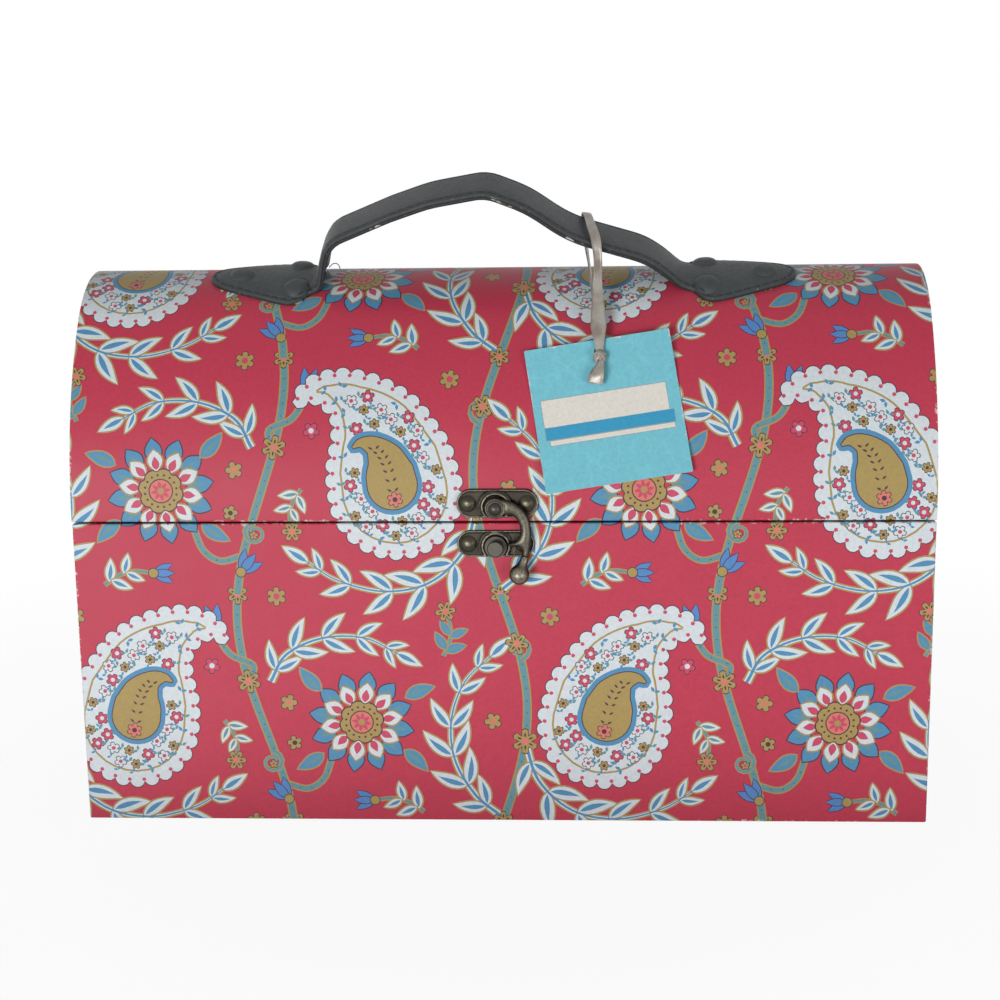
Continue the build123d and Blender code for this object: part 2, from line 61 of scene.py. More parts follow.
# Sizes read from the frame, in millimetres
base_low, base_high = (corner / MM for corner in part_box("base_wrap_paper"))
lid_low, lid_high = (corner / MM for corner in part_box("lid_wrap_paper"))
half_width = base_high.x
half_depth = base_high.y
base_top = base_high.z
paper = base_low.z
lid_rim = lid_low.z
lid_rise = lid_high.z - lid_low.z
lined_wall = half_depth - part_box("lid_lining_paper")[1].y / MM + paper

# The lid's section: a crown arc between two side arcs
crown_radius = 40.0
crown_centre = lid_rise - crown_radius
side_radius = (half_depth**2 + crown_centre**2 - crown_radius**2) / (2 * (half_depth - crown_radius))
side_centre = side_radius - half_depth
arc_split = atan2(crown_centre, side_centre)


def place_camera():
    """A camera that sees the box as the photograph does."""
    data = bpy.data.cameras.new("camera")
    data.lens = camera_lens
    data.clip_start = 0.01
    camera = bpy.data.objects.new("camera", data)
    bpy.context.scene.collection.objects.link(camera)
    turn = Matrix.Rotation(radians(camera_left), 4, "Z")
    turn = turn @ Matrix.Rotation(radians(90 - camera_down), 4, "X")
    turn = turn @ Matrix.Rotation(radians(-camera_roll), 4, "Z")
    camera.matrix_world = Matrix.Translation(camera_place) @ turn
    bpy.context.scene.camera = camera


place_camera()


def new_piece(name, mesh, body, slot, *nodes):
    """Link a mesh as a piece that rides on a body and stands for CAD nodes."""
    made = bpy.data.objects.new(name, mesh)
    bpy.context.scene.collection.objects.link(made)
    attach(made, body)
    if nodes:
        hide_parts(*nodes)
    return made


# Ribbon: the loop over the strap, which starts behind the card's hole and ends in the knot
ribbon_thickness = 0.4
ribbon_route = [
    (34.4, -40.4, 166.6), (34.2, -33.8, 177.2), (32.2, -22.0, 190.0), (29.8, -8.2, 203.5),
    (29.8, -6.8, 210.0), (30.3, -11.5, 214.1), (31.8, -23.0, 210.2), (33.8, -31.6, 205.0),
    (34.5, -31.4, 197.0), (34.2, -33.5, 188.0), (34.4, -39.0, 176.5), (34.9, -44.5, 165.8),
]
ribbon_steps = 16
ribbon_turns = [10, 50, 72, 60, 10, -8, -5, 12, 35, 35, 5, 0]
ribbon_widths = [2.6, 2.8, 3.0, 3.1, 3.2, 3.2, 3.2, 3.1, 3.0, 2.9, 3.1, 3.4, 3.5, 3.5, 3.4, 3.5, 3.7,
                 4.4, 5.6, 1.9]


def spline_points(route, steps):
    """Points along the smooth line that a route controls, in metres."""
    curve = bpy.data.curves.new("line", "CURVE")
    curve.dimensions = "3D"
    spline = curve.splines.new("NURBS")
    spline.points.add(len(route) - 1)
    for point, place in zip(spline.points, route):
        point.co = (*(Vector(place) * MM), 1)
    spline.order_u = 3
    spline.use_endpoint_u = True
    curve.resolution_u = steps
    bare = bpy.data.objects.new("line", curve)
    mesh = bpy.data.meshes.new_from_object(bare)
    points = [vertex.co.copy() for vertex in mesh.vertices]
    bpy.data.meshes.remove(mesh)
    bpy.data.objects.remove(bare)
    bpy.data.curves.remove(curve)
    return points


band_section = [(-1, -0.7), (-0.5, -1), (0.5, -1), (1, -0.7), (1, 0.7), (0.5, 1), (-0.5, 1), (-1, 0.7)]


def band(name, points, across, widths, thickness):
    """A flat band along points, with the directions across it, as a closed mesh."""
    verts, faces = [], []
    last, ring = len(points) - 1, len(band_section)
    for i, point in enumerate(points):
        along = (points[min(i + 1, last)] - points[max(i - 1, 0)]).normalized()
        side = (across[i] - along * across[i].dot(along)).normalized()
        out = along.cross(side)
        for a, b in band_section:
            verts.append(point + side * (a * widths[i] / 2) + out * (b * thickness / 2))
    for i in range(last):
        for k in range(ring):
            a, b = i * ring + k, i * ring + (k + 1) % ring
            faces.append((a, b, b + ring, a + ring))
    faces.append(tuple(range(ring - 1, -1, -1)))
    faces.append(tuple(last * ring + k for k in range(ring)))
    mesh = bpy.data.meshes.new(name)
    mesh.from_pydata([tuple(v) for v in verts], [], faces)
    mesh.shade_smooth()
    return mesh


def spread(values, count):
    """Values spread evenly over a number of points."""
    return np.interp(np.linspace(0, 1, count), np.linspace(0, 1, len(values)), values)


def twisted(points, turns):
    """Directions across a band that start along X and turn round its line by degrees."""
    last = len(points) - 1
    across = []
    for i, turn in enumerate(spread(turns, len(points))):
        along = points[min(i + 1, last)] - points[max(i - 1, 0)]
        across.append(Matrix.Rotation(radians(turn), 3, along) @ Vector((1, 0, 0)))
    return across


ribbon_line = spline_points(ribbon_route, ribbon_steps)
ribbon = new_piece(
    "ribbon_loop",
    band("ribbon_loop", ribbon_line, twisted(ribbon_line, ribbon_turns),
         spread(ribbon_widths, len(ribbon_line)) * MM, ribbon_thickness * MM),
    "lid", "ribbon", "tag_ribbon",
)



# The print, drawn flat in millimetres: X to the right and Y up on the front
repeat = 168.0
INKS = ["crimson", "white", "sky", "teal", "gold", "dark", "rose", "blue", "peach", "card", "panel",
        "stripe", "edge_line"]


def curve(points, steps=8):
    """A smooth line through given points."""
    p = np.array(points, float)
    p = np.vstack([2 * p[0] - p[1], p, 2 * p[-1] - p[-2]])
    made = []
    for a, b, c, d in zip(p, p[1:], p[2:], p[3:]):
        for t in np.arange(steps) / steps:
            made.append(0.5 * (2 * b + (c - a) * t + (2 * a - 5 * b + 4 * c - d) * t**2 + (3 * b - a - 3 * c + d) * t**3))
    return np.array([*made, p[-2]])


def normals(line):
    """Unit vectors to the left of a line at each of its points."""
    along = np.gradient(line, axis=0)
    along /= np.linalg.norm(along, axis=1)[:, None]
    return np.stack([-along[:, 1], along[:, 0]], axis=1)


def stroke(line, widths, cap=0):
    """The outline of a brush stroke along a line, with its widths spread evenly and a round start."""
    half = np.interp(np.linspace(0, 1, len(line)), np.linspace(0, 1, len(widths)), widths) / 2
    left = normals(line) * half[:, None]
    start = []
    if cap:
        out = -left[0]
        for k in range(1, cap):
            a = -pi * k / cap
            start.append(line[0] + np.array([out[0] * cos(a) - out[1] * sin(a), out[0] * sin(a) + out[1] * cos(a)]))
    return np.array([*start, *(line + left), *(line - left)[::-1]])


def grown(ring, by):
    """A ring moved outwards, or inwards where by is negative."""
    after, before = np.roll(ring, -1, axis=0), np.roll(ring, 1, axis=0)
    along = after - before
    along /= np.linalg.norm(along, axis=1)[:, None]
    turn = np.sign(np.sum(ring[:, 0] * after[:, 1] - ring[:, 1] * after[:, 0]))
    return ring + turn * by * np.stack([along[:, 1], -along[:, 0]], axis=1)


def almond(length, width, bend=0.0, steps=7, full=0.8):
    """A pointed leaf from the origin along X."""
    s = np.linspace(0, 1, steps)
    middle = np.stack([length * s, bend * length * s**2], axis=1)
    half = width / 2 * np.sin(pi * s**full)
    up = normals(middle) * half[:, None]
    return np.array([*(middle + up), *(middle - up)[-2:0:-1]])


def disc(radius, steps=10):
    a = tau * np.arange(steps) / steps
    return radius * np.stack([np.cos(a), np.sin(a)], axis=1)


def lobes(count, low, high, steps=4, power=0.5):
    """A ring of round lobes, as on a flower with joined petals."""
    a = tau * np.arange(count * steps) / (count * steps)
    r = low + (high - low) * np.abs(np.sin(count * a / 2)) ** power
    return r[:, None] * np.stack([np.cos(a), np.sin(a)], axis=1)


def placed(shapes, place=(0, 0), turn=0.0, size=1.0, flip=False):
    """Shapes mirrored, scaled, turned by degrees and moved, in that order."""
    a = radians(turn)
    m = size * np.array([[cos(a), -sin(a)], [sin(a), cos(a)]]) @ np.diag([-1 if flip else 1, 1])
    return [(ink, ring @ m.T + np.array(place)) for ink, ring in shapes]


def wheel(shapes, count, start=0.0):
    """Copies of shapes turned evenly round the origin, layer by layer."""
    return [
        made
        for layer in shapes
        for k in range(count)
        for made in placed([layer], turn=start + 360 * k / count)
    ]


def floret(petals=5, radius=2.7, body="rose", eye="white"):
    """A small round flower with a dark edge."""
    return [
        ("dark", lobes(petals, radius * 0.62 + 0.3, radius + 0.3)),
        (body, lobes(petals, radius * 0.55, radius)),
        (eye, disc(radius * 0.36, 7)),
    ]


def leaf_pair(length=2.6, ink="teal"):
    """Two tiny leaves that open from one point."""
    return [made for turn in (35, 145) for made in placed([(ink, almond(length, length * 0.55, steps=4))], turn=turn)]


def daisy(radius=4.6):
    """A gold flower with dark stamens, as wide as a fingertip."""
    return [
        ("dark", lobes(6, radius * 0.5 + 0.35, radius + 0.35)),
        ("gold", lobes(6, radius * 0.45, radius)),
        *wheel([("dark", placed([("", almond(radius * 0.42, 0.7, steps=4))], (radius * 0.3, 0))[0][1])], 6, 30),
        ("peach", disc(radius * 0.3)),
    ]


def tulip(length=9.5):
    """A blue bud of three petals on a gold cup, pointing along X."""
    petal = almond(length, length * 0.36, full=0.9)
    shapes = []
    for turn in (-27, 27, 0):
        shapes += placed([("dark", grown(petal, 0.3)), ("blue", petal)], turn=turn)
        shapes += placed([("sky", almond(length * 0.62, 0.9, steps=4))], turn=turn)
    return [*shapes, ("dark", grown(disc(1.7), 0.3)), ("gold", disc(1.7))]


def two_tone(length, width, bend=0.0, edge="gold", body="white", heart="sky"):
    """A leaf with a gold edge and a coloured heart."""
    leaf = almond(length, width, bend, 9)
    inner = almond(length * 0.72, width * 0.4, bend * 0.72, 7)
    return [(edge, grown(leaf, 0.55)), (body, leaf), *placed([(heart, inner)], (length * 0.07, 0))]


def frond(points, lengths, spread=48.0, hearts="sky"):
    """A curved feather of paired leaves that shrink towards its tip."""
    line = curve(points, 10)
    step = len(lengths)
    shapes = []
    at = np.linspace(0.1, 0.9, step)
    side = normals(line)
    for k, (share, length) in enumerate(zip(at, lengths)):
        i = int(share * (len(line) - 1))
        heading = degrees(np.arctan2(-side[i][0], side[i][1]))
        for way in (1, -1):
            leaf = two_tone(length, length * 0.34, -0.22 * way, heart=hearts)
            shapes += placed(leaf, line[i], heading + way * spread)
    heading = degrees(np.arctan2(-side[-1][0], side[-1][1]))
    shapes += placed(two_tone(lengths[-1] * 1.3, lengths[-1] * 0.5, heart=hearts), line[-2], heading)
    return [("gold", stroke(line, [3.6, 2.6, 1.8])), ("white", stroke(line, [2.4, 1.5, 0.8])), *shapes,
            ("sky", stroke(line, [1.1, 0.7, 0.4]))]


def vine(points, width=2.2, steps=10):
    """A teal stem with gold edges and dark dots."""
    line = curve(points, steps)
    shapes = [("gold", stroke(line, [width + 1.0])), ("teal", stroke(line, [width]))]
    for i in range(3, len(line) - 2, 3):
        shapes += placed([("dark", disc(0.26, 4))], line[i])
    return shapes


def tendril(radius=5.0, width=1.2):
    """A curl that winds in from the origin."""
    t = np.linspace(0, 1, 16)
    a, r = 1.35 * tau * t, radius * (1 - 0.78 * t)
    line = np.stack([r * np.sin(a), radius - r * np.cos(a)], axis=1)
    return [("gold", stroke(line, [width + 0.9, 0.9])), ("teal", stroke(line, [width, 0.5])),
            *placed(floret(5, 1.5, "gold", "rose"), line[-1])]


def rosette():
    """A many-petalled flower, about as wide as the latch."""
    outer, middle, inner = almond(9.0, 5.6, full=1.0), almond(7.6, 5.0, full=1.1), almond(5.2, 3.4, full=1.0)
    def at(ring, r):
        return ring + np.array([r, 0])
    return [
        *wheel([("dark", at(grown(outer, 0.45), 9.0)), ("sky", at(outer, 9.0)),
                ("teal", at(almond(6.0, 1.6), 9.6))], 12),
        *wheel([("gold", at(grown(middle, 0.5), 6.4)), ("white", at(middle, 6.4)),
                ("rose", at(almond(4.6, 2.6), 7.2))], 10, 18),
        ("dark", lobes(8, 6.8, 7.9)), ("gold", lobes(8, 6.4, 7.4)),
        *wheel([("dark", at(disc(0.45, 5), 5.4))], 16),
        ("dark", disc(4.2, 16)), ("peach", disc(3.8, 16)),
        *wheel([("rose", at(almond(2.6, 1.3), 0.8))], 8),
        ("gold", disc(1.1)),
    ]


def sprig(flower, body="white", heart="sky"):
    """A short curved twig with paired leaves and a flower at its end."""
    line = curve([(0, 0), (6, 1.5), (12, 1), (17, -1.5)], 4)
    shapes = [("gold", stroke(line, [2.0, 1.6])), ("teal", stroke(line, [1.1, 0.8]))]
    for at, turn, length in (((2, 0.5), 58, 8.5), ((3, 0.8), -48, 8), ((8, 1.5), 50, 7.5), ((9, 1.5), -50, 7)):
        shapes += placed(two_tone(length, length * 0.42, 0.1, body=body, heart=heart), at, turn)
    return shapes + placed(flower, (18, -2), -20)


def covers(ring, points):
    """Which points a ring winds round."""
    a, b = ring[:, :, None], np.roll(ring, -1, axis=0)[:, :, None]
    x, y = points[:, 0], points[:, 1]
    side = (b[:, 0] - a[:, 0]) * (y - a[:, 1]) - (x - a[:, 0]) * (b[:, 1] - a[:, 1])
    up = (a[:, 1] <= y) & (b[:, 1] > y) & (side > 0)
    down = (a[:, 1] > y) & (b[:, 1] <= y) & (side < 0)
    return up.sum(0) != down.sum(0)


def teardrop(size=1.0):
    spine = curve([(0, 0), (0.5, 12), (3, 25), (10, 36), (20, 40.5), (28, 38)], 7) * size
    return stroke(spine, [43 * size, 41 * size, 31 * size, 17 * size, 8 * size, 1.5 * size], 14)


def spread_round(ring, count):
    """Points evenly round a ring."""
    closed = np.vstack([ring, ring[:1]])
    along = np.concatenate([[0], np.linalg.norm(np.diff(closed, axis=0), axis=1).cumsum()])
    at = np.linspace(0, along[-1], count, endpoint=False)
    return np.stack([np.interp(at, along, closed[:, k]) for k in (0, 1)], axis=1)


def scalloped(ring, count, low, high, steps=5):
    """A ring with round lobes all along it."""
    even = spread_round(ring, count * steps)
    rise = low + (high - low) * np.abs(np.sin(pi * np.arange(count * steps) / steps)) ** 0.6
    return np.array([at + (out - at) * r for at, out, r in zip(even, grown(even, 1.0), rise)])


def paisley(seed=4):
    """A large pale drop with a scalloped edge, filled with florets round a gold heart."""
    drop = teardrop()
    lace = scalloped(drop, 36, 0.3, 2.3)
    shapes = [("dark", grown(lace, 0.35)), ("white", lace)]
    shapes += [("rose", disc(0.8, 5) + p) for p in spread_round(grown(drop, -0.4), 36)]
    inner = curve([(0, 0.5), (0.5, 12), (3, 25), (9.5, 35), (16.5, 39.6), (21, 40)], 7)
    inner = stroke(inner, [37, 35, 25, 11.5, 4, 1], 14)
    shapes += [("gold", inner), ("white", grown(inner, -0.7))]
    room = grown(inner, -1.8)
    heart = teardrop(0.4) + np.array([0.5, 3.0])
    halo = grown(heart, 3.0)
    draw = np.random.default_rng(seed)
    k = 0
    for row, y in enumerate(np.arange(-20, 46, 5.0)):
        for x in np.arange(-24, 30, 6.0):
            p = np.array([x + 3.0 * (row % 2), y]) + draw.uniform(-0.6, 0.6, 2)
            turn = draw.uniform(0, 360)
            if covers(room, p[None])[0] and not covers(halo, p[None])[0]:
                k += 1
                kind = (floret(5, 2.2, "rose"), floret(5, 2.1, "white", "rose"), floret(6, 1.7, "gold", "dark"))[k % 3]
                shapes += placed(kind, p, turn)
                shapes += placed(leaf_pair(2.0), p + np.array([3.1, 0.6]), turn * 0.2)
                shapes += placed(leaf_pair(1.6, "sky"), p + np.array([-0.6, -3.3]), turn * 0.2)
            elif covers(grown(room, 1.2), p[None])[0] and not covers(halo, p[None])[0]:
                shapes += placed(leaf_pair(2.2, "sky"), p, turn)
    shapes += [("sky", grown(heart, 1.9)), ("dark", grown(heart, 0.35)), ("gold", heart)]
    spine = curve([(0.5, -1), (0.8, 7.5), (2.4, 13.5), (6, 18)], 5)
    for i in range(1, len(spine) - 1, 2):
        shapes += placed([("dark", almond(1.9, 0.8, steps=4))], spine[i] + np.array([0.5, 0]), 35)
        shapes += placed([("dark", almond(1.9, 0.8, steps=4))], spine[i] - np.array([0.5, 0]), 145)
    shapes += placed(floret(6, 2.6, "peach", "dark"), (0.5, -2.2))
    return shapes


def stem_x(column, y):
    """Where a column's stem is at a height; it swings from side to side once in a repeat."""
    return column * repeat / 2 + 9.0 * sin(tau * y / repeat + (1.9 if column else 0.0))


def stem(column):
    """Half a repeat of a column's stem; its mirrored copy is the other half."""
    return [(stem_x(column, y), y) for y in np.arange(0, repeat / 2 + 1, 6.0)]


def cell():
    """The shapes of half a repeat; the other half is mirrored and half a repeat higher."""
    shapes = vine(stem(0), steps=4) + vine(stem(1), steps=4)
    # sprays and side stems
    shapes += frond([(8, 30), (13, 15), (25, 4), (41, 1), (57, 5), (68, 12)], [13, 14.5, 14.5, 13, 11, 8.5])
    shapes += frond([(1, 86), (10, 94), (17, 107), (18, 122), (13, 136), (3, 146)], [12, 14, 14, 12.5, 10.5, 8.5])
    shapes += frond([(82, 136), (76, 146), (63, 152), (48, 152), (36, 146)], [11, 12.5, 12, 10, 8])
    shapes += vine([(78, 98), (70, 96), (64, 100), (61, 108)], 1.7, 5)
    shapes += vine([(stem_x(1, 52), 52), (80, 58), (72, 62), (67, 70)], 1.7, 5)
    shapes += placed(tendril(4.6), (stem_x(0, 60), 60), 15)
    shapes += placed(tendril(4.2), (stem_x(1, 26), 26), 165, flip=True)
    shapes += placed(tulip(), (67, 71), 110)
    shapes += placed(tulip(8.5), (stem_x(1, 4) - 1, 8), 130)
    # large flowers
    shapes += placed(paisley(), (36, 36), -10)
    shapes += placed(rosette(), (50, 121), 10, 1.04)
    for turn in (40, 150, 215, 320):
        leaf = placed(two_tone(11, 4.6, 0.15, body="sky", heart="teal"), (18.4, 0))
        shapes += placed(leaf, (50, 121), turn)
    shapes += placed(daisy(), (stem_x(0, 30), 30))
    shapes += placed(daisy(4.0), (stem_x(0, 66), 66), 20)
    shapes += placed(daisy(4.2), (stem_x(1, 52), 52), 10)
    shapes += placed(daisy(3.6), (stem_x(1, 84), 84), 0)
    shapes += placed(daisy(3.6), (stem_x(0, 0), 0), 0)
    # small sprigs and flowers in the ground between
    shapes += placed(sprig(tulip(7.5)), (28.4, 87.4), 20)
    shapes += placed(sprig(daisy(4.0), "sky", "teal"), (20.4, 145.5), 100, 0.9)
    shapes += placed(sprig(daisy(4.2), "white", "teal"), (68.8, 37.5), -70, 0.85)
    shapes += placed(floret(6, 3.4, "gold", "rose"), (17.2, 75.8), 10)
    shapes += placed(floret(6, 3.4, "gold", "rose"), (78.8, 167.2), 0)
    shapes += placed(floret(5, 3.0, "gold", "peach"), (3.2, 121.5), 30)
    shapes += placed(floret(5, 3.0, "gold", "peach"), (75.8, 128.2), 0)
    shapes += placed(floret(5, 2.8, "rose"), (65.2, 57.8), 15)
    shapes += placed(floret(5, 2.6, "gold", "dark"), (74.2, 113.2), 40)
    return shapes


def print_shapes(low, high):
    """Every shape of the print that reaches into a rectangle."""
    first = cell()
    mirrored = placed(first, (repeat, repeat / 2), flip=True)
    made = []
    for i in range(int(low[0] // repeat) - 1, int(high[0] // repeat) + 2):
        for j in range(int(low[1] // repeat) - 2, int(high[1] // repeat) + 2):
            for ink, ring in first + mirrored:
                at = ring + np.array([i * repeat, j * repeat])
                if (at.max(0) > low).all() and (at.min(0) < high).all():
                    made.append((ink, at))
    return made


# Sheets: flat cuts of the print that are folded round the boards
def triangulated(border, shapes, lines, ground="crimson"):
    """Cut a border's inside along every ring and line: points, triangles and each triangle's ink.

    A ring with no ink is a hole.
    """
    points, edges = [], []

    def trace(ring, closed=True):
        first = len(points)
        points.extend(Vector(p) for p in ring)
        edges.extend((first + k, first + k + 1) for k in range(len(ring) - 1))
        if closed:
            edges.append((first + len(ring) - 1, first))

    trace(border)
    for _, ring in shapes:
        trace(ring)
    for line in lines:
        trace(line, closed=False)
    found = delaunay_2d_cdt(points, edges, [], 0, 1e-4, False)
    flat = np.array([tuple(v) for v in found[0]], float)
    triangles = np.array(found[2])
    middle = flat[triangles].mean(1)
    order = np.argsort(middle[:, 0])
    triangles, middle = triangles[order], middle[order]
    inks = np.full(len(triangles), -1)
    inks[covers(np.array(border), middle)] = INKS.index(ground)
    for ink, ring in shapes:
        (x0, y0), (x1, y1) = ring.min(0), ring.max(0)
        i, j = np.searchsorted(middle[:, 0], (x0, x1))
        near = i + np.nonzero((middle[i:j, 1] >= y0) & (middle[i:j, 1] <= y1))[0]
        near = near[inks[near] >= 0]
        if len(near):
            inks[near[covers(ring, middle[near])]] = INKS.index(ink) if ink else -1
    kept = inks >= 0
    used, index = np.unique(triangles[kept], return_inverse=True)
    return flat[used], index.reshape(-1, 3), inks[kept]


def edge_loops(triangles):
    """The closed loops of edges that belong to one triangle only."""
    edges = {(a, b) for t in triangles.tolist() for a, b in zip(t, t[1:] + t[:1])}
    after = {a: b for a, b in edges if (b, a) not in edges}
    loops = []
    while after:
        first = next(iter(after))
        loop = [first]
        while (following := after.pop(loop[-1])) != first:
            loop.append(following)
        loops.append(loop)
    return loops


def zipped(outer, inner, outer_flat, inner_flat):
    """Triangles between two loops round the same line, which have different points."""
    where = {tuple(np.round(outer_flat[k], 3)): i for i, k in enumerate(outer)}
    start, at = next((i, where[key]) for i, k in enumerate(inner)
                     if (key := tuple(np.round(inner_flat[k], 3))) in where)
    outer = outer[at:] + outer[:at] + [outer[at]]
    inner = inner[start:] + inner[:start] + [inner[start]]

    def along(loop, flat):
        places = flat[loop]
        return np.concatenate([[0], np.linalg.norm(np.diff(places, axis=0), axis=1).cumsum()])

    a, b = along(outer, outer_flat), along(inner, inner_flat)
    faces, i, j = [], 0, 0
    while i < len(outer) - 1 or j < len(inner) - 1:
        if j == len(inner) - 1 or (i < len(outer) - 1 and a[i + 1] <= b[j + 1] + 1e-6):
            faces.append((outer[i + 1], outer[i], inner[j], "outer"))
            i += 1
        else:
            faces.append((outer[i], inner[j], inner[j + 1], "inner"))
            j += 1
    return faces


def folded_sheet(name, border, shapes, lines, place, edge_distance, thickness=paper, back="back",
                 ground="crimson"):
    """A closed mesh of a printed sheet: its printed face, its back and its cut edges.

    place(u, v, depth) gives a point and its outward normal in millimetres, and
    edge_distance(u, v) how far a point of the sheet is from the nearest crease.
    """
    flat, front, inks = triangulated(border, shapes, lines, ground)
    under, rear, _ = triangulated(border, [shape for shape in shapes if not shape[0]], lines)
    top = [place(u, v, 0) for u, v in flat]
    bottom = [place(u, v, thickness) for u, v in under]
    shift = len(flat)
    verts = [p for p, _ in top] + [p for p, _ in bottom]
    out = [n for _, n in top] + [-n for _, n in bottom]
    faces = front.tolist() + [[a + shift, c + shift, b + shift] for a, b, c in rear.tolist()]
    count = len(faces)
    outer_loops, inner_loops = edge_loops(front), edge_loops(rear)
    for inner in inner_loops:
        spot = under[inner[0]]
        outer = min(outer_loops, key=lambda loop: min(np.abs(flat[loop] - spot).sum(1)))
        for a, b, c, kind in zipped(outer, inner, flat, under):
            if kind == "outer":
                faces.append([a, b, c + shift])
            else:
                faces.append([a, b + shift, c + shift])
    mesh = bpy.data.meshes.new(name)
    mesh.from_pydata([tuple(p * MM) for p in verts], [], faces)
    used = [INKS[k] for k in sorted(set(inks.tolist()))]
    for ink in used:
        mesh.materials.append(ink_material(ink))
    mesh.materials.append(ink_material(back))
    index = [used.index(INKS[k]) for k in inks] + [len(used)] * (len(faces) - len(inks))
    mesh.polygons.foreach_set("material_index", index)
    near = mesh.attributes.new("edge", "FLOAT", "POINT")
    worn = [edge_distance(u, v) for u, v in flat] + [wear_reach] * len(under)
    near.data.foreach_set("value", np.clip(worn, 0, wear_reach).astype(np.float32))
    mesh.shade_smooth()
    splits = []
    for k, face in enumerate(faces):
        if k < count:
            splits.extend(tuple(out[i]) for i in face)
        else:
            splits.extend([(0, 0, 0)] * 3)
    mesh.normals_split_custom_set(splits)
    mesh.update()
    return mesh


def path_along(start, heading, moves):
    """A path of straight runs and right-hand arcs: (length, radius) each, radius 0 for a run.

    Returns its length and a function from a distance along it to a point and the left normal.
    """
    pieces, at, place, angle = [], 0.0, np.array(start, float), radians(heading)
    for length, radius in moves:
        pieces.append((at, length, radius, place.copy(), angle))
        ahead = np.array([cos(angle), sin(angle)])
        if radius:
            right = np.array([ahead[1], -ahead[0]])
            centre = place + right * radius
            angle -= length / radius
            ahead = np.array([cos(angle), sin(angle)])
            place = centre - np.array([ahead[1], -ahead[0]]) * radius
        else:
            place = place + ahead * length
        at += length

    def point(s):
        s = min(max(s, 0.0), at)
        begun, _, radius, origin, facing = next(p for p in reversed(pieces) if p[0] <= s + 1e-9)
        ahead = np.array([cos(facing), sin(facing)])
        if not radius:
            return origin + ahead * (s - begun), np.array([-ahead[1], ahead[0]])
        centre = origin + np.array([ahead[1], -ahead[0]]) * radius
        turned = facing - (s - begun) / radius
        left = np.array([-sin(turned), cos(turned)])
        return centre + left * radius, left

    return at, point


def quarter(radius):
    """A right-hand quarter turn, as a move of a path."""
    return (radius * pi / 2, radius)


def rows(low, high, step):
    """Heights between two others, about a step apart."""
    count = max(2, round((high - low) / step) + 1)
    return list(np.linspace(low, high, count))


# Materials
def srgb(*levels):
    """A colour from display levels of 0 to 255, for a shader."""
    return tuple((c / 255 / 12.92 if c < 10.3 else ((c / 255 + 0.055) / 1.055) ** 2.4) for c in levels) + (1.0,)


def shaded(colour, share):
    """A colour made lighter or darker by a share."""
    return tuple(min(1.0, c * share) for c in colour[:3]) + (1.0,)


def node(tree, kind, settings=None, **inputs):
    """Add a shader node. A socket given as a value is linked, and anything else is set."""
    made = tree.nodes.new("ShaderNode" + kind)
    for key, value in (settings or {}).items():
        setattr(made, key, value)
    for key, value in inputs.items():
        socket = made.inputs[int(key[1:])] if key[0] == "_" else made.inputs[key.replace("_", " ")]
        if isinstance(value, bpy.types.NodeSocket):
            tree.links.new(value, socket)
        else:
            socket.default_value = value
    return made


def new_material(name):
    """An empty node material, its tree, its shader and the object's own coordinates."""
    made = bpy.data.materials.new(name)
    made.use_nodes = True
    tree = made.node_tree
    return made, tree, tree.nodes["Principled BSDF"], node(tree, "TexCoord").outputs["Object"]


def noise(tree, where, scale, detail=2.0, roughness=0.5):
    """A noise value over the surface."""
    return node(tree, "TexNoise", Vector=where, Scale=scale, Detail=detail, Roughness=roughness).outputs[0]


def blended(tree, share, first, second):
    """A colour between two others."""
    mix = node(tree, "Mix", {"data_type": "RGBA"}, _0=share, _6=first, _7=second)
    return mix.outputs[2]


def ranged(tree, value, low, high, to_low=0.0, to_high=1.0):
    """A value mapped from one range to another and held within it."""
    made = node(tree, "MapRange", Value=value, From_Min=low, From_Max=high, To_Min=to_low, To_Max=to_high)
    return made.outputs[0]


def sum_of(tree, a, b, operation="ADD"):
    return node(tree, "Math", {"operation": operation}, _0=a, _1=b).outputs[0]


def bumped(tree, shader, height, strength, distance):
    """Let a height bend the shader's normals."""
    bump = node(tree, "Bump", Height=height, Strength=strength, Distance=distance)
    tree.links.new(bump.outputs[0], shader.inputs["Normal"])


ink_colours = {
    "crimson": srgb(196, 61, 84), "white": srgb(222, 231, 236), "sky": srgb(86, 148, 190),
    "teal": srgb(104, 152, 162), "gold": srgb(176, 152, 92), "dark": srgb(76, 48, 62),
    "rose": srgb(206, 80, 108), "blue": srgb(92, 140, 205), "peach": srgb(222, 128, 112),
    "back": srgb(226, 220, 208), "card": srgb(126, 204, 220), "panel": srgb(236, 232, 222),
    "card_back": srgb(226, 222, 212), "edge_line": srgb(150, 160, 165), "stripe": srgb(62, 162, 204),
}
wear_reach = 1.5
worn_colour = srgb(232, 222, 216)
ink_materials = {}


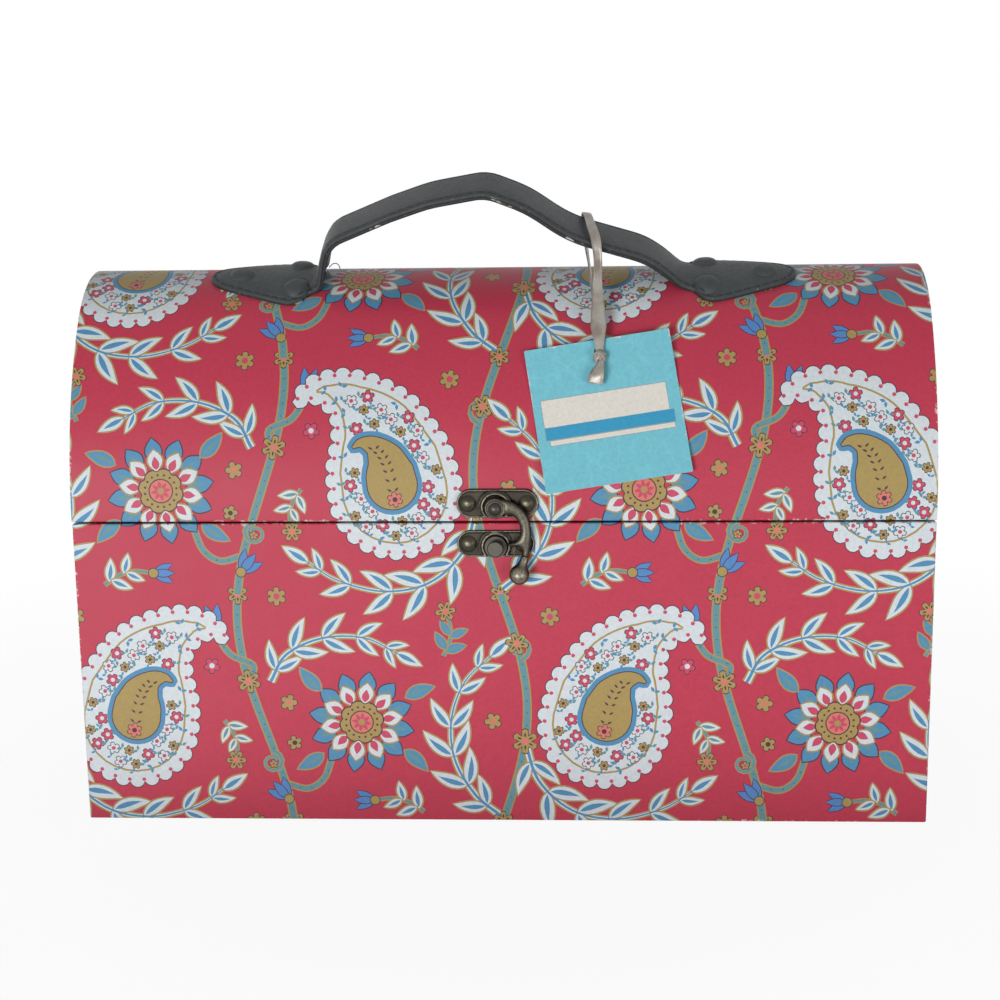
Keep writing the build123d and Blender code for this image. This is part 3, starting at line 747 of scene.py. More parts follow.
def ink_material(ink):
    """One ink of the satin printed paper, with mottled fibres and pale scuffs along its creases."""
    if ink in ink_materials:
        return ink_materials[ink]
    made, tree, shader, where = new_material("print_" + ink)
    colour = ink_colours[ink]
    mottle = noise(tree, where, 900.0, 4.0, 0.7)
    inked = blended(tree, ranged(tree, mottle, 0.3, 0.7), shaded(colour, 0.9), shaded(colour, 1.07))
    if ink == "card":
        veins = sum_of(tree, noise(tree, where, 110.0, 2.0, 0.5), -0.5, "ADD")
        veins = ranged(tree, sum_of(tree, veins, 0.0, "ABSOLUTE"), 0.0, 0.035, 0.3, 0.0)
        inked = blended(tree, veins, inked, shaded(colour, 1.25))
    crease = node(tree, "Attribute", {"attribute_name": "edge"}).outputs["Fac"]
    chips = ranged(tree, noise(tree, where, 420.0, 5.0, 0.75), 0.38, 0.62, 1.1, -0.75)
    patches = ranged(tree, noise(tree, where, 32.0, 3.0, 0.6), 0.42, 0.58, 0.35, -0.45)
    reach = sum_of(tree, sum_of(tree, crease, chips), patches)
    scuff = ranged(tree, reach, -0.1, -0.6, 0.0, 0.85)
    tree.links.new(blended(tree, scuff, inked, worn_colour), shader.inputs["Base Color"])
    tree.links.new(ranged(tree, mottle, 0.3, 0.7, 0.42, 0.54), shader.inputs["Roughness"])
    shader.inputs["Specular IOR Level"].default_value = 0.3
    grain = noise(tree, where, 2600.0, 3.0, 0.6)
    swell = noise(tree, where, 34.0, 2.0, 0.5)
    bumped(tree, shader, sum_of(tree, ranged(tree, grain, 0, 1, 0, 0.05), swell), 0.5, 0.0012)
    ink_materials[ink] = made
    return made


# Printed sheets
fold_radius = 0.6
inner_fold_radius = 0.25
turn_in = 3.0
rim_draw = 0.03
bottom_flange = 15.0
corner_radius = 0.7
corner_steps = 4
arch_step = 5.0
crown_step = 3.2


def lid_inset(y, z):
    """How far inside the lid's skin a point of its section lies; z is above the rim."""
    if atan2(z - crown_centre, abs(y)) > pi / 2 - (pi / 2 - arc_split) and z > crown_centre:
        return crown_radius - hypot(y, z - crown_centre)
    return side_radius - hypot(side_centre + abs(y), z)


def base_outline(u, inset):
    """The point of the base's outline at a distance round it from the middle of the front."""
    sides = (
        (-half_width - 2 * half_depth, (-half_width, half_depth), (0, -1)),
        (-half_width, (-half_width, -half_depth), (1, 0)),
        (half_width, (half_width, -half_depth), (0, 1)),
        (half_width + 2 * half_depth, (half_width, half_depth), (-1, 0)),
    )
    start, corner, along = next(side for side in reversed(sides) if side[0] <= u + 0.001)
    length = 2 * (half_depth if along[0] == 0 else half_width)
    out = np.array([along[1], -along[0]])
    along, corner = np.array(along), np.array(corner)
    s = u - start
    drawn_in = max(inset - corner_radius, 0)
    bend = max(corner_radius - inset, 0)
    hub = corner_radius + drawn_in
    near = max(min(s, length - s), 0.0)
    if near >= corner_radius:
        share = (s - corner_radius) / (length - 2 * corner_radius)
        reach = hub + share * (length - 2 * hub)
        return corner + along * reach - out * inset, out
    side = -1 if s < length / 2 else 1
    centre = corner + along * (hub if side < 0 else length - hub) - out * hub
    angle = side * radians(45) * (corner_radius - near) / corner_radius
    normal = out * cos(angle) + along * sin(angle)
    return centre + normal * bend, normal


def base_wrap():
    """Printed paper round the base, over its rim and under its edge."""
    length, point = path_along((bottom_flange, paper), 180, [
        (bottom_flange - fold_radius, 0), quarter(fold_radius),
        (base_top - rim_draw - paper - 2 * fold_radius, 0), quarter(fold_radius),
        (lined_wall - fold_radius - inner_fold_radius, 0), quarter(inner_fold_radius),
        (turn_in - inner_fold_radius, 0),
    ])
    bottom = bottom_flange - fold_radius + quarter(fold_radius)[0]
    drop = paper + fold_radius - bottom
    top = bottom + base_top - rim_draw - paper - 2 * fold_radius
    low, high = drop, length + drop
    left, right = -half_width - 2 * half_depth, 3 * half_width + 2 * half_depth

    def place(u, v, depth):
        (inset, z), (out, rise) = point(v - drop)
        (x, y), normal = base_outline(u, inset - out * depth)
        return Vector((x, y, z - rise * depth)), Vector((*(-out * normal), rise))

    corners = [left, -half_width, half_width, half_width + 2 * half_depth, right]
    creases = [paper + fold_radius, top + drop + fold_radius]

    def edge_distance(u, v):
        return min(*(abs(u - c) for c in corners), abs(v - paper), abs(v - base_top))

    across = [c + side * d for c in corners for side in (-1, 1)
              for d in [*np.linspace(0, corner_radius, corner_steps), wear_reach]]
    across = sorted({round(u, 4) for u in across if left < u < right})
    level = [paper + wear_reach, base_top - wear_reach]
    for start in (bottom - quarter(fold_radius)[0], top):
        level += rows(start, start + quarter(fold_radius)[0], 0.25)
    inner = length - turn_in + inner_fold_radius - quarter(inner_fold_radius)[0]
    level += rows(inner, inner + quarter(inner_fold_radius)[0], 0.2)
    level = [v + drop if k > 1 else v for k, v in enumerate(level)]
    lines = [[(u, low), (u, high)] for u in across] + [[(left, v), (right, v)] for v in level]
    shapes = print_shapes((left, paper - 2), (right, base_top + 2))
    border = [(left, low), (right, low), (right, high), (left, high)]
    mesh = folded_sheet("base_printed_paper", border, shapes, lines, place, edge_distance)
    new_piece("base_printed_paper", mesh, "base", "print_paper", "base_wrap_paper")


def lid_wrap():
    """Printed paper over the arch of the lid and round its two long rims."""
    start = quarter(fold_radius)[0] + turn_in - 2 * inner_fold_radius + lined_wall - fold_radius
    start += quarter(inner_fold_radius)[0]
    side = side_radius * arc_split - fold_radius
    crown = crown_radius * (pi - 2 * arc_split)
    length, point = path_along((lined_wall - half_depth, lid_rim + rim_draw + turn_in), -90, [
        (turn_in - inner_fold_radius, 0), quarter(inner_fold_radius),
        (lined_wall - fold_radius - inner_fold_radius, 0), quarter(fold_radius),
        (side, side_radius), (crown, crown_radius), (side, side_radius),
        quarter(fold_radius), (lined_wall - fold_radius - inner_fold_radius, 0),
        quarter(inner_fold_radius), (turn_in - inner_fold_radius, 0),
    ])
    drop = lid_rim + fold_radius - start
    low, high = drop, length + drop

    def place(u, v, depth):
        (y, z), (ny, nz) = point(v - drop)
        on_arch = start - 1e-6 <= v - drop <= length - start + 1e-6
        inset = 0 if on_arch else max(0.0, half_depth - abs(y))
        x = u * (half_width - inset) / half_width
        return Vector((x, y - ny * depth, z - nz * depth)), Vector((0, ny, nz))

    end = length + drop - start + fold_radius

    def edge_distance(u, v):
        return min(half_width - abs(u), abs(v - lid_rim), abs(v - end))

    turn = quarter(fold_radius)[0]
    level = rows(start, start + side, arch_step)
    level += rows(start + side, start + side + crown, crown_step)
    level += rows(start + side + crown, length - start, arch_step)
    level += rows(start - turn, start, 0.25) + rows(length - start, length - start + turn, 0.25)
    level += [start - fold_radius + wear_reach, length - start + fold_radius - wear_reach]
    fold = turn_in - inner_fold_radius
    for first in (fold, length - fold - quarter(inner_fold_radius)[0]):
        level += rows(first, first + quarter(inner_fold_radius)[0], 0.2)
    level = sorted({round(v + drop, 4) for v in level})
    lines = [[(-half_width, v), (half_width, v)] for v in level]
    lines += [[(u, low), (u, high)] for u in (wear_reach - half_width, half_width - wear_reach)]
    shapes = print_shapes((-half_width, lid_rim - 2), (half_width, end + 2))
    border = [(-half_width, low), (half_width, low), (half_width, high), (-half_width, high)]
    mesh = folded_sheet("lid_printed_paper", border, shapes, lines, place, edge_distance)
    new_piece("lid_printed_paper", mesh, "lid", "print_paper", "lid_wrap_paper")


def end_outline(inset, step):
    """The upper part of the lid's section, inset from its skin, from the back rim to the front rim."""
    points = []
    for k in np.linspace(0, arc_split, round(side_radius * arc_split / step) + 1)[:-1]:
        points.append(((side_radius - inset) * cos(k) - side_centre, (side_radius - inset) * sin(k)))
    sweep = pi - 2 * arc_split
    for k in np.linspace(0, sweep, round(crown_radius * sweep / step) + 1):
        a = arc_split + k
        points.append(((crown_radius - inset) * cos(a), crown_centre + (crown_radius - inset) * sin(a)))
    half = len(points) // 2
    return points + [(-y, z) for y, z in reversed(points[:half]) if (-y, z) not in points]


def lid_end(name, way):
    """Printed paper on one end of the lid and round its rim."""
    length, point = path_along((lined_wall, lid_rim + rim_draw + turn_in), -90, [
        (turn_in - inner_fold_radius, 0), quarter(inner_fold_radius),
        (lined_wall - fold_radius - inner_fold_radius, 0), quarter(fold_radius),
        (2 * lid_rise, 0),
    ])
    start = length - 2 * lid_rise
    drop = lid_rim + fold_radius - start
    middle = way * (half_width + half_depth)
    reach = half_depth - paper

    def place(u, v, depth):
        (inset, z), (out, rise) = point(v - drop)
        y = way * (u - middle) * (half_depth - inset) / half_depth
        x = way * (half_width - inset + out * depth)
        return Vector((x, y, z - rise * depth)), Vector((-way * out, 0, rise))

    def edge_distance(u, v):
        return min(lid_inset(u - middle, max(v - lid_rim, 0)) - paper, abs(v - lid_rim))

    arch = [(middle + y, lid_rim + z) for y, z in end_outline(paper, arch_step) if z > fold_radius]
    border = [(middle - reach, drop), (middle + reach, drop), (middle + reach, start + drop), *arch,
              (middle - reach, start + drop)]
    ring = [(middle + y, lid_rim + z) for y, z in end_outline(paper + wear_reach, arch_step)]
    level = rows(start - quarter(fold_radius)[0], start, 0.25)
    fold = turn_in - inner_fold_radius
    level += rows(fold, fold + quarter(inner_fold_radius)[0], 0.2)
    level = [v + drop for v in level] + [lid_rim + wear_reach]
    lines = [ring] + [[(middle - reach, v), (middle + reach, v)] for v in sorted(set(level))]
    shapes = print_shapes((middle - half_depth, lid_rim - 2), (middle + half_depth, lid_rim + lid_rise))
    mesh = folded_sheet(name, border, shapes, lines, place, edge_distance)
    return mesh


base_wrap()
lid_wrap()
new_piece("left_end_printed_paper", lid_end("left_end_printed_paper", -1), "lid", "print_paper",
          "lid_left_end_paper")
new_piece("right_end_printed_paper", lid_end("right_end_printed_paper", 1), "lid", "print_paper",
          "lid_right_end_paper")


# Raised forms: a flat outline whose face rises inwards from its edge
def from_edge(points, ring):
    """How far each point is from a ring."""
    a, b = ring, np.roll(ring, -1, axis=0)
    step = b - a
    length = (step**2).sum(1)
    best = np.full(len(points), np.inf)
    for k in range(len(ring)):
        offset = points - a[k]
        share = np.clip(offset @ step[k] / length[k], 0, 1)[:, None]
        best = np.minimum(best, np.linalg.norm(offset - share * step[k], axis=1))
    return best


def raised(border, insets, top, sides, bottom, lines=()):
    """A closed form over a flat outline, as flat points with a height, and its triangles.

    top and bottom give a height from a point and its distance to the edge; sides lists the
    steps (inset, height above the bottom as a share) between the two faces.
    """
    grid = [grown(border, -by) for by in insets]
    cuts = [np.vstack([ring, ring[:1]]) for ring in grid] + list(lines)
    flat, faces, _ = triangulated(border, [], cuts)
    under, rear, _ = triangulated(border, [], cuts)
    far = from_edge(flat, border)
    loop = max(edge_loops(faces), key=len)
    verts = [(x, y, top(x, y, q)) for (x, y), q in zip(flat, far)]
    edges = list(far)
    shift = len(verts)
    verts += [(x, y, bottom(x, y, q)) for (x, y), q in zip(under, far)]
    edges += [-1.0] * len(under)
    made = faces.tolist() + [[a + shift, c + shift, b + shift] for a, b, c in rear.tolist()]
    ring = flat[loop]
    high = np.array([verts[k][2] for k in loop])
    low = np.array([verts[k + shift][2] for k in loop])
    rims = [list(loop)]
    for inset, share in sides:
        rims.append(list(range(len(verts), len(verts) + len(loop))))
        heights = low + (high - low) * share
        verts += [(x, y, z) for (x, y), z in zip(grown(ring, -inset), heights)]
        edges += [-share] * len(loop)
    rims.append([k + shift for k in loop])
    for upper, lower in zip(rims, rims[1:]):
        for k in range(len(loop)):
            j = (k + 1) % len(loop)
            made.append([upper[k], lower[k], lower[j], upper[j]])
    return verts, made, edges


def raised_mesh(name, form, place, material):
    """The mesh of a raised form, with its distance from the edge kept for its material."""
    verts, faces, edges = form
    mesh = bpy.data.meshes.new(name)
    mesh.from_pydata([tuple(place(*v) * MM) for v in verts], [], faces)
    near = mesh.attributes.new("edge", "FLOAT", "POINT")
    near.data.foreach_set("value", np.array(edges, np.float32))
    high = mesh.attributes.new("high", "FLOAT", "POINT")
    high.data.foreach_set("value", np.array([v[2] for v in verts], np.float32))
    mesh.materials.append(material)
    mesh.shade_smooth()
    return mesh


def rounded_line(points, radii, step=6.0):
    """A line of straight runs joined by arcs; step is in degrees."""
    made = [np.array(points[0], float)]
    for before, corner, after, radius in zip(points, points[1:], points[2:], radii):
        corner = np.array(corner, float)
        a = np.array(before, float) - corner
        b = np.array(after, float) - corner
        a /= np.linalg.norm(a)
        b /= np.linalg.norm(b)
        half = np.arccos(np.clip(a @ b, -1, 1)) / 2
        centre = corner + (a + b) / np.linalg.norm(a + b) * radius / sin(half)
        start, end = corner + a * radius / np.tan(half), corner + b * radius / np.tan(half)
        count = max(2, int(degrees(pi - 2 * half) / step) + 1)
        first = atan2(*(start - centre)[::-1])
        turn = (atan2(*(end - centre)[::-1]) - first + pi) % tau - pi
        for k in np.linspace(0, 1, count + 1):
            angle = first + turn * k
            made.append(centre + radius * np.array([cos(angle), sin(angle)]))
    return np.array([*made, points[-1]])


# Strap handle: one padded strip that lies on the crown at its two leaves
handle_lean = radians(20)
strap_half = 10.0
strap_thick = 3.0
leaf_thick = 2.5
leaf_tip = 105.0
strap_route = [
    (-leaf_tip, 0.0), (-64.8, 0.0), (-59.2, 16.8), (-38.0, 26.0), (-24.0, 31.0), (-4.5, 34.6),
    (9.0, 29.0), (24.0, 18.0), (50.0, 9.8), (64.5, 0.0), (leaf_tip, 0.0),
]
strap_bends = [4.2, 9.0, 40.0, 40.0, 12.0, 40.0, 45.0, 24.0, 9.0]
loose_thread = [(-63.4, 1.0, -8.5), (-61.7, 2.2, -9.3), (-60.2, 1.5, -10.0), (-59.6, -0.4, -10.4)]
leaf_outline = [
    (0, 0), (0.5, 2.4), (2.2, 5.0), (5.2, 7.3), (9.5, 9.2), (16, 11.7), (22, 13.8), (27, 15.3),
    (30.5, 15.7), (33.5, 14.7), (35.5, 12.6), (36.8, 11.0), (39, 10.1), (42, 10.0),
]
cover_places = [(93.5, 0.0), (72.8, 8.6), (72.8, -8.6)]
stitch_inset = 1.5
stitch_pitch = 3.3

crown_origin = Vector((0, -crown_radius * sin(handle_lean),
                       lid_rim + crown_centre + crown_radius * cos(handle_lean)))
strap_up = Vector((0, -sin(handle_lean), cos(handle_lean)))
strap_front = Vector((0, -cos(handle_lean), -sin(handle_lean)))
strap_line = rounded_line(strap_route, strap_bends)
strap_at = np.concatenate([[0], np.linalg.norm(np.diff(strap_line, axis=0), axis=1).cumsum()])
strap_length = strap_at[-1]
strap_heading = np.unwrap(np.arctan2(*np.gradient(strap_line, strap_at, axis=0).T[::-1]))


def leafness(s):
    """One on the leaves, nothing on the free strap, and smooth between."""
    share = min(1.0, max(0.0, (min(s, strap_length - s) - 37.0) / 16.0))
    return 1 - share * share * (3 - 2 * share)


def strap_place(s, a, n):
    """The point of the strap at a length along it, a distance back across it and a height in it."""
    bend = max(leafness(s), 0.001) / crown_radius
    across, rise = (1 / bend + n) * sin(a * bend), (1 / bend + n) * cos(a * bend) - 1 / bend
    x, h, heading = (np.interp(s, strap_at, v) for v in (*strap_line.T, strap_heading))
    x, h = x - rise * sin(heading), h + rise * cos(heading)
    return crown_origin + Vector((x, 0, 0)) + strap_up * h - strap_front * across


def strap_border():
    """The flat outline of the strap and its two leaves."""
    leaf = curve(leaf_outline, 5)
    middle = [(s, strap_half) for s in np.arange(leaf[-1][0] + 2, strap_length - leaf[-1][0], 2.0)]
    side = [*leaf, *middle, *((strap_length - s, w) for s, w in leaf[::-1])]
    return np.array([(s, -w) for s, w in side] + [(s, w) for s, w in side[-2:0:-1]])


def strap_top(s, a, q):
    """Height of the strap's upper face: a rolled edge, a stitched groove and soft rivet bumps."""
    thick = leaf_thick + (strap_thick - leaf_thick) * (1 - leafness(s)) - 0.25
    roll = min(q, 0.9) / 0.9
    height = thick - 0.9 * (1 - (1 - (1 - roll) ** 2) ** 0.5)
    height -= 0.28 * np.exp(-(((q - stitch_inset) / 0.45) ** 2))
    height += 0.35 * min(1.0, max(0.0, (q - stitch_inset) / 5.0)) ** 0.6
    x = np.interp(s, strap_at, strap_line[:, 0])
    for along, across in cover_places:
        r = hypot(abs(x) - along, a - across)
        if r < 4.6:
            height += 1.48 * (1 - (r / 4.6) ** 3.8)
        height -= 0.16 * np.exp(-(((r - 4.9) / 0.4) ** 2))
    return height


def strap_bottom(s, a, q):
    return 0.4 * (1 - (min(q, 0.5) / 0.5)) ** 2 + 0.02


def stitches(name, border, place, height, width, length, material):
    """A row of short threads that follows a ring, each a slim sunk bead."""
    ring = spread_round(grown(border, -stitch_inset), int(2 * strap_length / stitch_pitch))
    along = np.roll(ring, -1, axis=0) - np.roll(ring, 1, axis=0)
    along /= np.linalg.norm(along, axis=1)[:, None]
    verts, faces = [], []
    stations = [(-1, 0.35), (-0.75, 0.85), (0, 1), (0.75, 0.85), (1, 0.35)]
    for (s, a), way in zip(ring, along):
        first = len(verts)
        for share, size in stations:
            for k in range(6):
                side = cos(k * pi / 3) * width / 2 * size
                rise = sin(k * pi / 3) * width / 2 * size
                at = np.array([s, a]) + way * share * length / 2 + np.array([-way[1], way[0]]) * side
                verts.append(tuple(place(*at, height(s, a) + rise) * MM))
        for i in range(len(stations) - 1):
            for k in range(6):
                p, r = first + i * 6 + k, first + i * 6 + (k + 1) % 6
                faces.append((p, r, r + 6, p + 6))
        faces.append(tuple(first + k for k in range(5, -1, -1)))
        faces.append(tuple(first + 24 + k for k in range(6)))
    mesh = bpy.data.meshes.new(name)
    mesh.from_pydata(verts, [], faces)
    mesh.materials.append(material)
    mesh.shade_smooth()
    return mesh


def leather():
    """Dark grey leatherette: fine pebbled grain, painted shade along its rolled edges and on its sides, soft scuffs on
    its edges and a pale core below.
    """
    made, tree, shader, where = new_material("leatherette")
    cloud = noise(tree, where, 90.0, 4.0, 0.6)
    colour = blended(tree, ranged(tree, cloud, 0.3, 0.7), srgb(50, 54, 56), srgb(66, 71, 73))
    rim = node(tree, "Attribute", {"attribute_name": "edge"}).outputs["Fac"]
    flecks = noise(tree, where, 700.0, 4.0, 0.7)
    # Painted shade: darker along the rolled edge of the upper face.
    dark = sum_of(tree, ranged(tree, rim, 1.1, 0.2), ranged(tree, rim, -0.1, 0.1), "MULTIPLY")
    colour = blended(tree, ranged(tree, dark, 0, 1, 0, 0.45), colour, srgb(30, 32, 34))
    # Painted shade: the strap's sides and underside darker still.
    side = ranged(tree, rim, 0.02, -0.02)
    colour = blended(tree, side, colour, srgb(32, 34, 36))
    worn = sum_of(tree, ranged(tree, rim, 0.75, 0.15), ranged(tree, flecks, 0.62, 0.7), "MULTIPLY")
    colour = blended(tree, ranged(tree, worn, 0, 1, 0, 0.6), colour, srgb(150, 150, 146))
    core = sum_of(tree, ranged(tree, rim, -0.6, -0.4), ranged(tree, rim, -0.2, -0.3), "MULTIPLY")
    core = sum_of(tree, core, ranged(tree, noise(tree, where, 130.0, 2.0), 0.66, 0.69), "MULTIPLY")
    colour = blended(tree, core, colour, srgb(214, 210, 200))
    tree.links.new(colour, shader.inputs["Base Color"])
    tree.links.new(ranged(tree, flecks, 0.3, 0.7, 0.5, 0.66), shader.inputs["Roughness"])
    shader.inputs["Specular IOR Level"].default_value = 0.4
    pebbles = node(tree, "TexVoronoi", {"feature": "SMOOTH_F1"}, Vector=where, Scale=1500.0).outputs["Distance"]
    bumped(tree, shader, sum_of(tree, pebbles, flecks), 0.35, 0.0003)
    return made


def thread(name, light_colour, dark_colour):
    """Twisted thread, with bands of painted shade in the grooves of its twist."""
    made, tree, shader, where = new_material(name)
    twist = node(tree, "TexWave", {"wave_type": "BANDS"}, Vector=where, Scale=900.0, Distortion=2.0).outputs["Fac"]
    # The dark bands are painted shade in the grooves of the twist.
    tree.links.new(blended(tree, twist, dark_colour, light_colour), shader.inputs["Base Color"])
    shader.inputs["Roughness"].default_value = 0.75
    bumped(tree, shader, twist, 0.4, 0.0001)
    return made


def strap_handle():
    """The padded strap with its leaves, and the thread along its edges."""
    border = strap_border()
    insets = [0.1, 0.25, 0.5, 0.85, 1.2, 1.5, 1.8, 2.2, 2.6, 3.4, 4.8, 7.0]
    rungs = []
    for s in np.arange(6.0, strap_length - 5, 2.0):
        reach = np.interp(min(s, strap_length - s), *curve(leaf_outline, 5).T) - 1.2
        rungs.append(np.array([(s, -reach), (s, -reach / 2), (s, 0), (s, reach / 2), (s, reach)]))
    for along, across in cover_places:
        for side in (-1, 1):
            s = np.interp(side * along, strap_line[:, 0], strap_at)
            for radius in (1.2, 2.4, 3.4, 4.0, 4.4, 4.8, 5.3):
                ring = disc(radius, 24) + np.array([s, across])
                rungs.append(np.vstack([ring, ring[:1]]))
    sides = [(-0.06, 0.85), (-0.1, 0.7), (0.12, 0.6), (0.3, 0.54), (0.1, 0.48), (-0.02, 0.38), (0.0, 0.2)]
    form = raised(border, insets, strap_top, sides, strap_bottom, rungs)
    mesh = raised_mesh("strap_leather", form, strap_place, leather())
    new_piece("strap_leather", mesh, "lid", "strap", "handle_strap")
    twisted_thread = thread("strap_thread", srgb(52, 54, 54), srgb(20, 21, 21))
    sunk = stitches("strap_stitches", border, strap_place,
                    lambda s, a: strap_top(s, a, stitch_inset) + 0.1, 0.6, 2.4, twisted_thread)
    new_piece("strap_stitches", sunk, "lid", "strap")
    line = [(crown_origin + Vector((x, 0, 0)) + strap_up * h + strap_front * a) * MM
            for x, h, a in curve(loose_thread, 6)]
    fray = band("strap_loose_thread", line, [Vector((0, 1, 0))] * len(line), [0.3 * MM] * len(line), 0.3 * MM)
    fray.materials.append(twisted_thread)
    new_piece("strap_loose_thread", fray, "lid", "strap")


strap_handle()


# Card tag
card_touch = 38.0
card_gap = 0.3
card_side = 50.8
card_thick = 0.6
card_tilt = radians(8.8)
card_hole_radius = 1.5
card_hole_inset = 4.3
card_hole = (34.4, 20.1)
knot_shift = (0.5, -2.2)

card_slope = np.arcsin(card_touch / side_radius)
card_out = Vector((0, -cos(card_slope), sin(card_slope)))
card_up = Vector((0, sin(card_slope), cos(card_slope)))
card_origin = Vector((0, side_centre, lid_rim)) + card_out * (side_radius + card_gap)
hole_to_centre = card_side / 2 - card_hole_inset
card_centre = (card_hole[0] + hole_to_centre * sin(card_tilt), card_hole[1] - hole_to_centre * cos(card_tilt))


def on_card(u, v, out):
    """A point from the card's own middle, right and up along its tilted sides, and out of it."""
    x = card_centre[0] + u * cos(card_tilt) - v * sin(card_tilt)
    y = card_centre[1] + u * sin(card_tilt) + v * cos(card_tilt)
    return card_origin + Vector((x, 0, 0)) + card_up * y + card_out * out


def rectangle(left, right, low, high):
    return np.array([(left, low), (right, low), (right, high), (left, high)], float)


def tag():
    """A bare blue card with a pale panel and a stripe, and a hole near its top edge."""
    half = card_side / 2
    corner = 0.5
    ring = rounded_ring(rectangle(-half, half, -half, half), corner)
    hole = disc(card_hole_radius, 28) + np.array([0, hole_to_centre])
    lip = disc(card_hole_radius + 0.25, 28) + np.array([0, hole_to_centre])
    shapes = [
        ("edge_line", rectangle(-22.6, 21.2, -3.0, 7.1)), ("panel", rectangle(-22.4, 21.0, -2.8, 6.9)),
        ("edge_line", rectangle(-22.5, 22.6, -7.25, -2.7)), ("stripe", rectangle(-22.35, 22.45, -7.1, -2.8)),
        ("edge_line", rectangle(-21.4, 22.2, -9.35, -7.3)), ("panel", rectangle(-21.2, 22.0, -9.15, -7.5)),
        ("card", lip), (None, hole),
    ]

    def place(u, v, depth):
        return on_card(u, v, card_thick - depth), card_out

    def edge_distance(u, v):
        return min(half - abs(u), half - abs(v))

    lines = [np.vstack([grown(ring, -by), grown(ring, -by)[:1]]) for by in (0.3, 1.0)]
    mesh = folded_sheet("tag_print", ring, shapes, lines, place, edge_distance, card_thick, "card_back", "card")
    new_piece("tag_print", mesh, "tag", "card", "tag_card")


def rounded_ring(ring, radius, steps=4):
    """A ring with its corners rounded."""
    made = []
    for before, corner, after in zip(np.roll(ring, 1, axis=0), ring, np.roll(ring, -1, axis=0)):
        start = corner + (before - corner) / np.linalg.norm(before - corner) * radius
        end = corner + (after - corner) / np.linalg.norm(after - corner) * radius
        for t in np.linspace(0, 1, steps + 1):
            made.append((1 - t) ** 2 * start + 2 * t * (1 - t) * corner + t**2 * end)
    return np.array(made)


def satin():
    """Silvery taupe satin ribbon with fine threads across it."""
    made, tree, shader, where = new_material("satin_ribbon")
    threads = noise(tree, where, 1800.0, 3.0, 0.6)
    soft = noise(tree, where, 160.0, 2.0)
    colour = blended(tree, ranged(tree, soft, 0.35, 0.65), srgb(142, 132, 122), srgb(186, 182, 172))
    colour = blended(tree, ranged(tree, threads, 0.35, 0.65, 0, 0.4), colour, srgb(126, 116, 106))
    tree.links.new(colour, shader.inputs["Base Color"])
    tree.links.new(ranged(tree, threads, 0.3, 0.7, 0.25, 0.4), shader.inputs["Roughness"])
    shader.inputs["Specular IOR Level"].default_value = 0.6
    shader.inputs["Metallic"].default_value = 0.15
    shader.inputs["Anisotropic"].default_value = 0.6
    bumped(tree, shader, threads, 0.3, 0.0001)
    return made


# Knot: two crossing wraps of ribbon, and the ribbon's flared end
knot_out = card_thick + card_gap + 1.7
neck_wraps = [
    [(-1.7, 0.9, 0.0), (-0.8, 1.5, 1.1), (0.7, 0.8, 1.5), (1.8, -0.6, 0.6), (1.4, -1.4, -1.0), (-0.5, -0.2, -1.4)],
    [(1.6, 1.1, 0.0), (0.7, 1.3, 0.9), (-0.8, 0.0, 1.3), (-1.6, -1.3, 0.4), (-1.1, -1.8, -1.0), (0.7, 0.1, -1.4)],
]
tail_line = [(0.2, -1.0, 0.5), (0.1, -2.6, 0.9), (-0.5, -4.8, 1.4), (-1.2, -7.2, 1.1), (-1.7, -9.6, 0.2)]
tail_widths = [2.0, 2.5, 4.3, 5.2, 5.4]


def at_knot(x, y, out):
    """A point measured from the middle of the knot."""
    x, y = card_hole[0] + knot_shift[0] + x, card_hole[1] + knot_shift[1] + y
    return (card_origin + Vector((x, 0, 0)) + card_up * y
            + card_out * (knot_out + out)) * MM


def closed_curve(points, steps=8):
    """A smooth ring through given points."""
    wrapped = curve([points[-1], *points, points[0], points[1]], steps)
    return wrapped[steps:-steps]


def band_ring(points, middle, width, thickness):
    """A flat band that closes on itself round a middle point."""
    verts, faces = [], []
    count, ring = len(points), len(band_section)
    for i, point in enumerate(points):
        along = (points[(i + 1) % count] - points[i - 1]).normalized()
        out = (point - middle)
        out = (out - along * out.dot(along)).normalized()
        side = out.cross(along)
        for a, b in band_section:
            verts.append(point + side * (a * width / 2) + out * (b * thickness / 2))
    for i in range(count):
        for k in range(ring):
            a, b = i * ring + k, i * ring + (k + 1) % ring
            c, d = (a + ring) % (count * ring), (b + ring) % (count * ring)
            faces.append((a, b, d, c))
    return verts, faces


def join_meshes(name, parts, material):
    """One mesh from lists of points and faces."""
    verts, faces = [], []
    for points, polygons in parts:
        shift = len(verts)
        verts += [tuple(p) for p in points]
        faces += [tuple(k + shift for k in face) for face in polygons]
    mesh = bpy.data.meshes.new(name)
    mesh.from_pydata(verts, [], faces)
    mesh.materials.append(material)
    mesh.shade_smooth()
    return mesh


